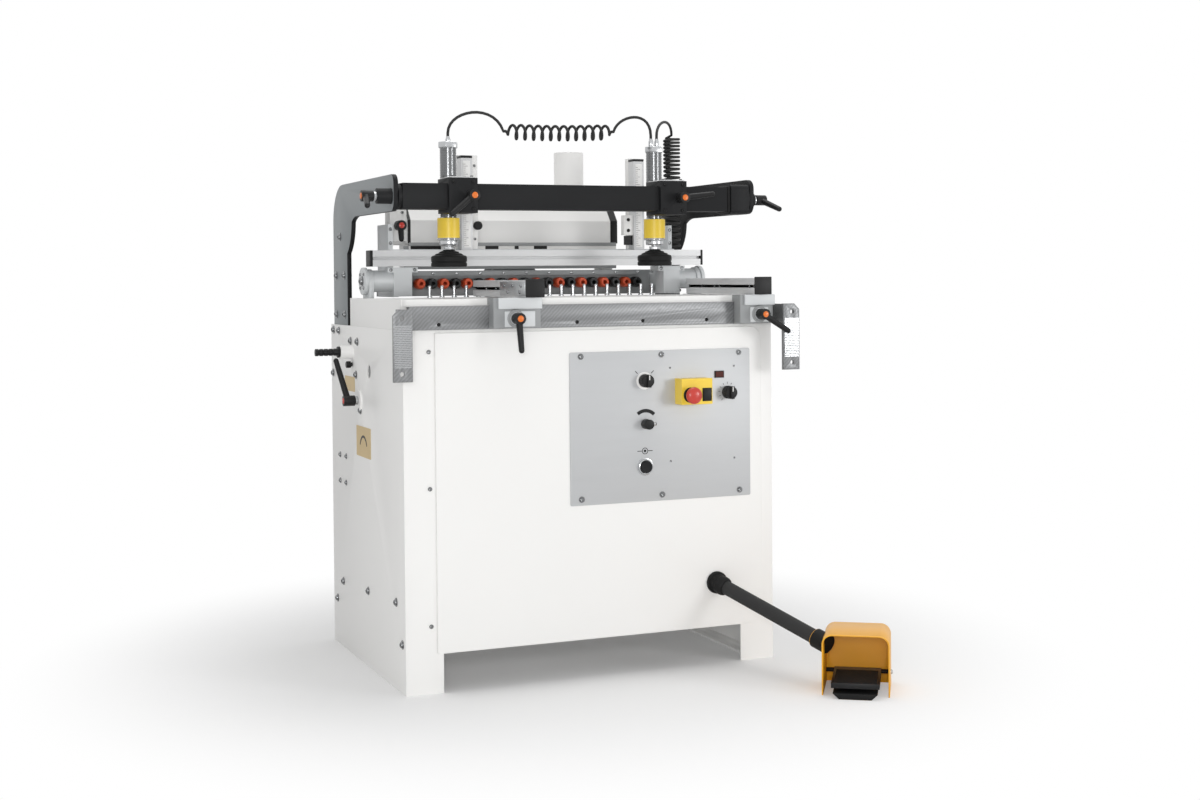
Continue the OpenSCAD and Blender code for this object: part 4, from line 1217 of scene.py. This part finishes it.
LEVERS = (
    ("left_side_lever", "left_fence_lever", ((-217, -44.3, 857),), -BACK),
    ("right_side_lever", "right_fence_lever", ((416, -44.3, 857),), -BACK),
    ("left_carriage_lever", "left_carriage_lever", ((-290, 55.7, 1143),), -BACK),
    ("right_carriage_lever", "right_carriage_lever", ((250, 55.7, 1143),), -BACK),
    ("beam_levers", "beam_levers", ((-503.3, 100, 1142), (477.3, 100, 1142)), -RIGHT),
    ("head_lever", "head_lever", ((-478.3, 386, 650),), -RIGHT),
    ("hood_lever", "hood_lever", ((-345, 474.7, 1086),), -BACK),
)
RED_BUTTONS = ("head_lever", "hood_lever")
LEVER_HUB = 36
LEVER_STEPS = 32
BUTTON_SHARES = ((0, 2.2), (0.6, 2), (0.9, 1.3), (1, 0), (1, -1), (0, -1))
LEVER_FOOT = ((5.6, 0.1), (10.2, 0.1), (10.6, 0.6), (10.6, 6.5), (10.2, 7), (5.6, 7))


class BORING_OT_levers(bpy.types.Operator):
    """Clamp levers with their press buttons and steel feet"""

    bl_idname = "boring.levers"
    bl_label = "Clamp levers"

    def execute(self, context):
        cap = [(share * size("button"), height) for share, height in BUTTON_SHARES]
        for node, body, bases, axis in LEVERS:
            dressed(node, black_plastic(), body, MOULDED_EDGE)
            buttons, feet = bmesh.new(), bmesh.new()
            for base in bases:
                out = RIGHT if base[0] > 0 and axis == -RIGHT else axis
                add_lathe(buttons, cap, place(*base) + out * LEVER_HUB * MM, out, LEVER_STEPS)
                add_lathe(feet, LEVER_FOOT, place(*base), out, LEVER_STEPS, closed=True)
            paint = stop_plastic() if node in RED_BUTTONS else orange_plastic()
            piece(node + "_button", buttons, paint, body)
            piece(node + "_foot", feet, bright_steel(), body)
        return {"FINISHED"}


# Arms, beam, carriages and cylinders

ARM_FACES = (469, 457)
ARM_BOLTS = ((540, 860), (624, 860), (540, 960), (624, 960), (582, 1060))
ARM_SIDE = 0.9
BEAM_MIDDLE = (0, 100, 1142)
BEAM_EDGE = 3
COLLAR_EDGE = 5
SCALE_EDGE = 0.2
BEAM_COLLAR = ((390, -34, -34), (399, 34, 34))
BEAM_SCALE = ((-440, -9, 29.8), (388, 9, 30.12))
LONG_BEAM_TICK = ((-0.3, -9, 30), (0.3, 1, 30.2))
SHORT_BEAM_TICK = ((-0.3, -9, 30), (0.3, -4, 30.2))
BEAM_TICKS = [(-435 + 5.15 * k, *BEAM_MIDDLE[1:]) for k in range(160)]


def paint_inner_shade(obj, finish):
    """Gives a second, dark finish to the faces that don't look straight out to their side: painted shade
    on the inner faces and edges.
    """
    obj.data.materials.append(finish)
    for face in obj.data.polygons:
        if face.normal.x * face.center.x < ARM_SIDE * abs(face.center.x):
            face.material_index = 1


class BORING_OT_arms(bpy.types.Operator):
    """Gooseneck arms and the square beam between them"""

    bl_idname = "boring.arms"
    bl_label = "Arms and beam"

    def execute(self, context):
        arms = dressed("clamp_arms", arm_coat(), "frame", CAST_EDGE)
        # The inner faces and edges of the arms get the charcoal finish as painted shade.
        paint_inner_shade(arms, charcoal_coat())
        groups = []
        for way in BOTH:
            for x, axis in zip(ARM_FACES, (RIGHT * way, -RIGHT * way)):
                groups.append(([(way * x, *at) for at in ARM_BOLTS], axis, size("bolt"), True))
        piece("arm_bolts", screws(*groups), dark_steel(), "frame")
        dressed("clamp_beam", charcoal_coat(), "beam", BEAM_EDGE)
        bm = add_boxes(bmesh.new(), [BEAM_MIDDLE], BEAM_COLLAR)
        piece("beam_collar", bm, black_rubber(), "beam", edge=COLLAR_EDGE, steps=4)
        bm = add_boxes(bmesh.new(), [BEAM_MIDDLE], BEAM_SCALE)
        piece("beam_scale", bm, profile_alloy(), "beam", edge=SCALE_EDGE)
        bm = bmesh.new()
        for k, spot in enumerate(BEAM_TICKS):
            add_boxes(bm, [spot], SHORT_BEAM_TICK if k % 10 else LONG_BEAM_TICK)
        piece("beam_ticks", bm, black_plastic(), "beam")
        return {"FINISHED"}


CARRIAGES = (("left", -306, (0,), 1290), ("right", 236, (-8, 8), 1297))
CARRIAGE_PLATE_EDGE = 0.9
CARRIAGE_PLATE = ((-31, 60, 1185), (31, 140, 1188))
CARRIAGE_SCREWS = (
    ([(dx, depth, 1188) for dx in (-24, 24) for depth in (68, 132)], UP, 4),
    ([(dx, 56, z) for dx in (-24, 24) for z in (1112, 1176)], -BACK, 4.2),
    ([(dx, 204, 1145) for dx in (-24, 24)], BACK, 4.2),
)


class BORING_OT_carriages(bpy.types.Operator):
    """Beam carriages with their top plates"""

    bl_idname = "boring.carriages"
    bl_label = "Carriages"

    def execute(self, context):
        for name, x, *_ in CARRIAGES:
            node = name + "_carriage"
            dressed(node, charcoal_coat(), node, size("soft_edge"))
            bm = add_boxes(bmesh.new(), [(x, 0, 0)], CARRIAGE_PLATE)
            piece(node + "_plate", bm, profile_alloy(), node, edge=CARRIAGE_PLATE_EDGE)
            piece(node + "_screws", screws(*CARRIAGE_SCREWS, x=x), black_plastic(), node)
        return {"FINISHED"}


CYLINDER_DEPTH = 172
BORE = 8.4
TUBE_RADIUS = 20
TUBE_STEPS = 48
TUBE_HEIGHTS = (1096, 1262)
THREAD_DEPTH = 0.9
THREAD_SHARES = ((0, 0.35), (1, 0.5), (1, 0.8), (0, 0.95))
CYLINDER_WRAP = ((26.8, 27.5), (1047, 1094.5))
WRAP_START = math.radians(172)
WRAP_SWEEP = math.radians(152)
WRAP_STEPS = 28
CYLINDER_BAND = (
    *((BORE, 1042), (26, 1042), (27.3, 1043), (27.3, 1044.6), (26.4, 1045)),
    *((26.4, 1045.6), (27, 1046), (27, 1094), (26, 1096), (BORE, 1096)),
)
CYLINDER_COLLAR = ((BORE, 1030), (20.5, 1030), (22, 1031.5), (22, 1042), (BORE, 1042))
COLLARS_EDGE = 0.4
HEXAGON = 6
CAP_TOP = 1277
CYLINDER_CAP = ((0, CAP_TOP), (22, CAP_TOP), (24, 1275.5), (24, 1263.5), (22.5, 1262), (0, 1262))
FITTING_RADIUS = 6
FITTING = ((0, 0), (3.8, 0), (4.6, -1), (4.6, -5), (FITTING_RADIUS, -5.6))
FOOT_SOLE = (
    *((0, 978), (40.5, 978), (43, 980), (43, 987), (41.6, 988.2), (41.6, 990.2)),
    *((43, 991.4), (43, 1001), (41, 1004), (33, 1006.6), (33, 1008.6)),
    *((24, 1011.6), (24, 1013.6), (14.5, 1017), (14, 1019), (0, 1019)),
)
FOOT_ROD = (1018, 1140, 8, ROUND_STEPS)
FOOT_NUT = (1018.8, 1026.5, 13.5, HEXAGON)


def tube_profile(pitch):
    """Closed outline of the threaded tube: radius and height pairs."""
    low, high = TUBE_HEIGHTS
    points = [(BORE, low), (TUBE_RADIUS, low)]
    for k in range(int((high - low) / pitch)):
        for sunk, along in THREAD_SHARES:
            points.append((TUBE_RADIUS - sunk * THREAD_DEPTH, low + (k + along) * pitch))
    return points + [(TUBE_RADIUS, high), (BORE, high)]


def wrap(base, radii, heights):
    """Thin band round part of an upright cylinder."""
    bm = bmesh.new()
    way = Vector((math.cos(WRAP_START), math.sin(WRAP_START), 0))
    verts = [bm.verts.new(base + (way * r + UP * h) * MM) for r, h in oblong(radii, heights)]
    face = bm.faces.new(verts)
    geom = verts + list(face.edges) + [face]
    bmesh.ops.spin(bm, geom=geom, cent=base, axis=UP, angle=WRAP_SWEEP, steps=WRAP_STEPS)
    bmesh.ops.recalc_face_normals(bm, faces=bm.faces)
    return bm


def fitting(top):
    """Outline of an air fitting on a cylinder's cap."""
    head = [(radius, top + height) for radius, height in FITTING]
    return head + [(FITTING_RADIUS, CAP_TOP), (0, CAP_TOP)]


class BORING_OT_cylinders(bpy.types.Operator):
    """Threaded clamp cylinders with their rubber feet"""

    bl_idname = "boring.cylinders"
    bl_label = "Cylinders and feet"

    def execute(self, context):
        for name, x, fittings, top in CARRIAGES:
            self.cylinder(name, x, fittings, top)
            self.foot(name, x)
        return {"FINISHED"}

    def cylinder(self, name, x, fittings, top):
        node = name + "_cylinder"
        axis = place(x, CYLINDER_DEPTH, 0)
        bm = turned(tube_profile(size("thread")), axis, UP, TUBE_STEPS, closed=True)
        piece(name + "_tube", bm, dark_steel(), node, node)
        piece(node + "_body", wrap(axis, *CYLINDER_WRAP), signal_coat(), node)
        bm = turned(CYLINDER_BAND, axis, UP, FINE_STEPS, closed=True)
        add_lathe(bm, CYLINDER_COLLAR, axis, UP, TUBE_STEPS, closed=True)
        add_lathe(bm, CYLINDER_CAP, axis, UP, HEXAGON)
        for dx in fittings:
            add_lathe(bm, fitting(top), place(x + dx, CYLINDER_DEPTH, 0), UP, SMALL_STEPS)
        piece(node + "_collars", bm, bright_steel(), node, edge=COLLARS_EDGE)

    def foot(self, name, x):
        node = name + "_foot"
        bm = turned(FOOT_SOLE, place(x, CYLINDER_DEPTH, 0), UP, FINE_STEPS)
        piece(node + "_rubber", bm, black_rubber(), node, node)
        bm = bmesh.new()
        for low, high, radius, segments in (FOOT_ROD, FOOT_NUT):
            add_rod(bm, (x, CYLINDER_DEPTH, low), (x, CYLINDER_DEPTH, high), radius, segments)
        piece(node + "_rod", bm, bright_steel(), node, edge=FINE_EDGE)


# Rear fence and head

COLUMNS = ((-217, 0, 0), (257, 0, 0))
COLUMN = ((0, 345, 1021), (30, 380, 1253))
COLUMN_CAP = ((0, 345, 1253), (30, 380, 1259))
COLUMN_SCALE = ((6, 344.5, 1028), (24, 345.2, 1246))
COLUMN_TICKS = [1032 + 5 * k for k in range(42)]
FENCE_PLATE_EDGE = 0.3
END_CAP = 7
FENCE_KNOB = ((0, 24), (9, 24), (11, 22.5), (11, 13), (8, 11.5), (5.5, 9), (5.5, 0), (0, 0))
FENCE_KNOB_AT = (-173, 366, 1083)
FENCE_PLATES = (((232, 352, 1060), (257, 372, 1112)), ((-187, 364, 1070), (-163, 376, 1096)))
FENCE_STOP = ((234, 354, 1034), (257, 360, 1058))
FENCE_SCREWS = ((244, 352, 1072), (244, 352, 1100))
FENCE_SCREW = 4.6
FENCE_BAR = ((END_CAP, 330, 900), (-END_CAP, 390, 1020.95))
FENCE_END = ((0, 340, 981), (END_CAP, 380, 1021))
LONG_COLUMN_TICK = ((6, 344.3, -0.35), (18, 344.6, 0.35))
SHORT_COLUMN_TICK = ((6, 344.3, -0.35), (12, 344.6, 0.35))


class BORING_OT_rear_fence(bpy.types.Operator):
    """Grooved rear fence on its scaled columns"""

    bl_idname = "boring.rear_fence"
    bl_label = "Rear fence"

    def execute(self, context):
        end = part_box("rear_fence")[1][0] / MM
        bm = cut_out("rear_fence", *between((-end, end), FENCE_BAR))
        piece("rear_bar", bm, profile_alloy(), "fence", "rear_fence", edge=SHEET_EDGE)
        bm = add_boxes(bmesh.new(), [(-end, 0, 0), (end - END_CAP, 0, 0)], FENCE_END)
        add_boxes(bm, COLUMNS, COLUMN_CAP)
        soften(bm, MOULDED_EDGE, 3)
        add_lathe(bm, FENCE_KNOB, place(*FENCE_KNOB_AT), -BACK, LEVER_STEPS)
        for at in FENCE_SCREWS:
            add_screw(bm, place(*at), -BACK, FENCE_SCREW)
        add_box(bm, *FENCE_STOP)
        piece("rear_fence_caps", bm, black_plastic(), "fence")
        bm = add_boxes(bmesh.new(), COLUMNS, COLUMN)
        piece("rear_columns", bm, profile_alloy(), "fence", edge=BLOCK_EDGE)
        bm = add_boxes(boxes(*FENCE_PLATES), COLUMNS, COLUMN_SCALE)
        piece("rear_fence_plates", bm, white_coat(), "fence", edge=FENCE_PLATE_EDGE)
        bm = bmesh.new()
        for k, z in enumerate(COLUMN_TICKS):
            tick = SHORT_COLUMN_TICK if k % 4 else LONG_COLUMN_TICK
            add_boxes(bm, COLUMNS, moved(tick, (0, 0, z)))
        piece("column_ticks", bm, black_plastic(), "fence")
        return {"FINISHED"}


POSTS = (
    ((-216.2, 380.1, 1024.2), (-161.8, 402.2, 1262.2)),
    ((257.8, 380.1, 1024.2), (300.2, 402.2, 1262.2)),
)
POST_SCREWS = [(x, 380.1, z) for x in (-170, 266) for z in (1050, 1236)]
POST_SCREW = 3.6
PIVOT = (380, 945)
PIVOT_FACE = 465
PIVOT_CIRCLE = 24
PIVOT_SCREWS = [math.tau * (k + 0.5) / 4 for k in range(4)]
PIVOT_BOLT = 9
PIVOT_SCREW = 4
UPRIGHT_SCREWS = (
    *((338, 352, 972.5), (399, 352, 972.5)),
    *((386, 399, 1000), (386, 399, 1040), (386, 399, 1075)),
)
UPRIGHT_SCREW = 4.4


class BORING_OT_head_frame(bpy.types.Operator):
    """Lift carriage and tilting frame with its guide posts"""

    bl_idname = "boring.head_frame"
    bl_label = "Head frame"

    def execute(self, context):
        dressed("lift_carriage", head_coat(), "lift", BLOCK_EDGE)
        dressed("tilt_frame", head_coat(), "tilt", CAST_EDGE)
        bm = boxes(*POSTS)
        piece("guide_posts", bm, white_coat(), "tilt", edge=BLOCK_EDGE)
        depth, height = PIVOT
        ring = [
            (depth + PIVOT_CIRCLE * math.cos(turn), height + PIVOT_CIRCLE * math.sin(turn))
            for turn in PIVOT_SCREWS
        ]
        groups = []
        for way in BOTH:
            face = way * PIVOT_FACE
            groups += [
                ([(face, *PIVOT)], RIGHT * way, PIVOT_BOLT, True),
                ([(face, *at) for at in ring], RIGHT * way, PIVOT_SCREW),
                ([(way * x, *at) for x, *at in UPRIGHT_SCREWS], -BACK, UPRIGHT_SCREW),
            ]
        bm = screws(*groups, (POST_SCREWS, -BACK, POST_SCREW))
        piece("head_frame_screws", bm, dark_steel(), "tilt")
        return {"FINISHED"}


CHUCK_BACK = 493
CHUCK_STEPS = 36
GEAR = ((-20, CHUCK_BACK + 0.1, 900), (20, 610, 980))
AXIS_HEIGHT = 937
SPINDLES = 21
STRIP_SCREWS = [(-320 + 64 * k, 466, 963.5) for k in range(11)]
STRIP_SCREW = 4
MOTOR_FIN = ((59, 0), (62.5, 0.4), (62.5, 2.6), (59, 3))
MOTOR_FINS = [576 + 9.5 * k for k in range(9)]
CHUCK = (
    *((0, 5), (5, 5), (5, 29.2), (5.8, 30), (10.6, 30), (11.6, 29), (11.6, 25.2), (13.2, 23.8)),
    *((14, 22), (14, 13.4), (13.1, 12.6), (13.1, 10.4), (14, 9.6), (14, 1), (13.2, 0.1), (0, 0.1)),
)


class BORING_OT_spindles(bpy.types.Operator):
    """Gear case, motor and the row of spindles with their chucks"""

    bl_idname = "boring.spindles"
    bl_label = "Spindle head"

    def execute(self, context):
        dressed("gear_case", casting_coat(), "feed", PLATE_EDGE)
        bm = screws((STRIP_SCREWS, -BACK, STRIP_SCREW))
        piece("strip_screws", bm, bright_steel(), "feed")
        dressed("motor", casting_coat(), "feed", CAST_EDGE)
        bm = bmesh.new()
        for depth in MOTOR_FINS:
            add_lathe(bm, MOTOR_FIN, place(0, depth, AXIS_HEIGHT), BACK, FINE_STEPS, closed=True)
        piece("motor_fins", bm, casting_coat(), "feed")
        for i, x in enumerate(row(SPINDLES)):
            node = f"spindle_{i + 1:02d}"
            paint = chuck_red_coat() if i % 2 else chuck_black_coat()
            bm = turned(CHUCK, place(x, CHUCK_BACK, AXIS_HEIGHT), -BACK, CHUCK_STEPS)
            piece(node + "_chuck", bm, paint, node, node)
            bm = cut_out(node, *moved(GEAR, (x, 0, 0)))
            piece(node + "_gear", bm, bright_steel(), node)
        return {"FINISHED"}


END_SHADE_SPANS = ((-321, -313), (243, 263))
HOOD_FACE = ((0, 469.2, 1041), (0, 470.5, 1100.4))
HOOD_BEND = (470, 1100)
HOOD_CREST = (525, 1165)
END_SHADE_THICKNESS = 0.8
SLOPE_NORMAL = Vector((0, -0.763, 0.646))
GAP_SHADE_BOX = ((0, 471, 1022), (0, 474, 1035))
GAP_SHADE_SPANS = ((-313, -232), (-192, -166), (-111, -75), (-30, -19), (24, 61))
HOOD_SEGMENTS = ((-318, 471.6, 1022), (260, 473.4, 1035))
STRIP_EDGE = 0.6
HOOD_STRIP = ((-318, 469, 1034), (260, 475, 1043))
CASE_APRON = ((-330, 475, 974), (262, 477, 1034))
HOOD_SCREWS = ((-333, 475, 1056), (-333, 475, 1120))
HOOD_SCREW = 4


class BORING_OT_hood(bpy.types.Operator):
    """Dust hood, with black boxes that are painted shade in the gaps under it and at its ends"""

    bl_idname = "boring.hood"
    bl_label = "Hood"

    def execute(self, context):
        dressed("hood", white_coat(), "feed", PLATE_EDGE)
        # Black boxes in the gaps under the hood are painted shade of the openings, and black strips on
        # the face and slope at both ends are painted shade of the cheeks.
        bm = boxes(*(between(gap, GAP_SHADE_BOX) for gap in GAP_SHADE_SPANS))
        for x0, x1 in END_SHADE_SPANS:
            add_box(bm, *between((x0, x1), HOOD_FACE))
            slope = ((x0, *HOOD_BEND), (x1, *HOOD_BEND), (x1, *HOOD_CREST), (x0, *HOOD_CREST))
            add_plate(bm, [place(*at) for at in slope], SLOPE_NORMAL * END_SHADE_THICKNESS * MM)
        piece("hood_trim", bm, black_plastic(), "feed")
        piece("hood_segments", boxes(HOOD_SEGMENTS), white_coat(), "feed")
        for name, box in (("hood_strip", HOOD_STRIP), ("case_apron", CASE_APRON)):
            piece(name, boxes(box), casting_coat(), "feed", edge=STRIP_EDGE)
        bm = screws((HOOD_SCREWS, -BACK, HOOD_SCREW))
        piece("hood_screws", bm, dark_steel(), "feed")
        return {"FINISHED"}


BLOCK_KNOB = ((0, 16), (7, 16), (8.5, 14.5), (8.5, 5), (5, 3), (5, 0), (0, 0))
BLOCK_KNOB_AT = (-473, 455, 736)


class BORING_OT_plunger(bpy.types.Operator):
    """Index plunger on the left panel"""

    bl_idname = "boring.plunger"
    bl_label = "Index plunger"

    def execute(self, context):
        dressed("index_plunger", black_plastic(), "index_plunger", PLATE_EDGE)
        bm = turned(BLOCK_KNOB, place(*BLOCK_KNOB_AT), -RIGHT, SMALL_STEPS)
        piece("plunger_block_knob", bm, black_plastic(), "frame")
        return {"FINISHED"}


GUARD_EDGE = 0.9
PEDAL_BASE_EDGE = 0.8
PEDAL_BASE = ((-36.3, 0), (36.3, 0), (50.4, 13.3), (-50.4, 13.3))
PEDAL_BASE_ENDS = (-32.3, 141)
PORT = ((0, -14), (22.5, -14), (22.5, 22.4), (21.4, 24), (0, 24))
RIBS = [-22 + 9 * k for k in range(14)]
RIB_HALF = 48
RIB_WIDTH = 4
RIB_FOOT = 35.8
RIB_HEIGHT = 1.6
RIB_EDGE = 0.4
AXLE_AT = (125, 30)
AXLE_HALF = 76.2
AXLE_END = 5.5


class BORING_OT_pedal(bpy.types.Operator):
    """Foot pedal in its guard"""

    bl_idname = "boring.pedal"
    bl_label = "Pedal"

    def execute(self, context):
        dressed("pedal_guard", golden_coat(), "frame", GUARD_EDGE)
        near, far = PEDAL_BASE_ENDS
        bm = bmesh.new()
        outline = [pedal_point(x, near, z) for x, z in PEDAL_BASE]
        add_plate(bm, outline, pedal_point(0, far, 0) - pedal_point(0, near, 0))
        piece("pedal_base", bm, black_rubber(), "frame", edge=PEDAL_BASE_EDGE)
        bm = turned(PORT, pedal_point(*HOSE_PORT), -pedal_hose_way())
        piece("hose_port", bm, black_rubber(), "frame")
        dressed("pedal", black_plastic(), "pedal", CAP_EDGE)
        bm = bmesh.new()
        for y in RIBS:
            corners = oblong((-RIB_HALF, RIB_HALF), (y, y + RIB_WIDTH))
            add_plate(bm, [pedal_point(*at, RIB_FOOT) for at in corners], UP * RIB_HEIGHT * MM)
        piece("pedal_ribs", bm, black_rubber(), "pedal", edge=RIB_EDGE)
        bm = bmesh.new()
        for side in BOTH:
            end = pedal_point(side * AXLE_HALF, *AXLE_AT)
            away = (end - pedal_point(0, *AXLE_AT)).normalized()
            add_screw(bm, end, away, AXLE_END)
        piece("pedal_axle_ends", bm, bright_steel(), "pedal")
        return {"FINISHED"}


CLASSES = (
    MachineColours,
    MachineSizes,
    BORING_OT_hoses,
    BORING_OT_stage,
    BORING_OT_cabinet,
    BORING_OT_cover,
    BORING_OT_control_plate,
    BORING_OT_controls,
    BORING_OT_table,
    BORING_OT_rail,
    BORING_OT_side_fences,
    BORING_OT_levers,
    BORING_OT_arms,
    BORING_OT_carriages,
    BORING_OT_cylinders,
    BORING_OT_rear_fence,
    BORING_OT_head_frame,
    BORING_OT_spindles,
    BORING_OT_hood,
    BORING_OT_plunger,
    BORING_OT_pedal,
)
OPERATORS = [c for c in CLASSES if issubclass(c, bpy.types.Operator)]


class BORING_PT_panel(bpy.types.Panel):
    """Lists the pieces of the machine"""

    bl_idname = "BORING_PT_panel"
    bl_label = "Boring Machine"
    bl_space_type = "VIEW_3D"
    bl_region_type = "UI"
    bl_category = "Boring Machine"

    def draw(self, context):
        for operator in OPERATORS:
            self.layout.operator(operator.bl_idname)


def register():
    for item in CLASSES + (BORING_PT_panel,):
        bpy.utils.register_class(item)
    bpy.types.Scene.machine_colours = PointerProperty(type=MachineColours)
    bpy.types.Scene.machine_sizes = PointerProperty(type=MachineSizes)


def unregister():
    del bpy.types.Scene.machine_sizes
    del bpy.types.Scene.machine_colours
    for item in reversed(CLASSES + (BORING_PT_panel,)):
        bpy.utils.unregister_class(item)


def main():
    register()
    for operator in OPERATORS:
        group, name = operator.bl_idname.split(".")
        getattr(getattr(bpy.ops, group), name)()


if __name__ == "__main__":
    main()
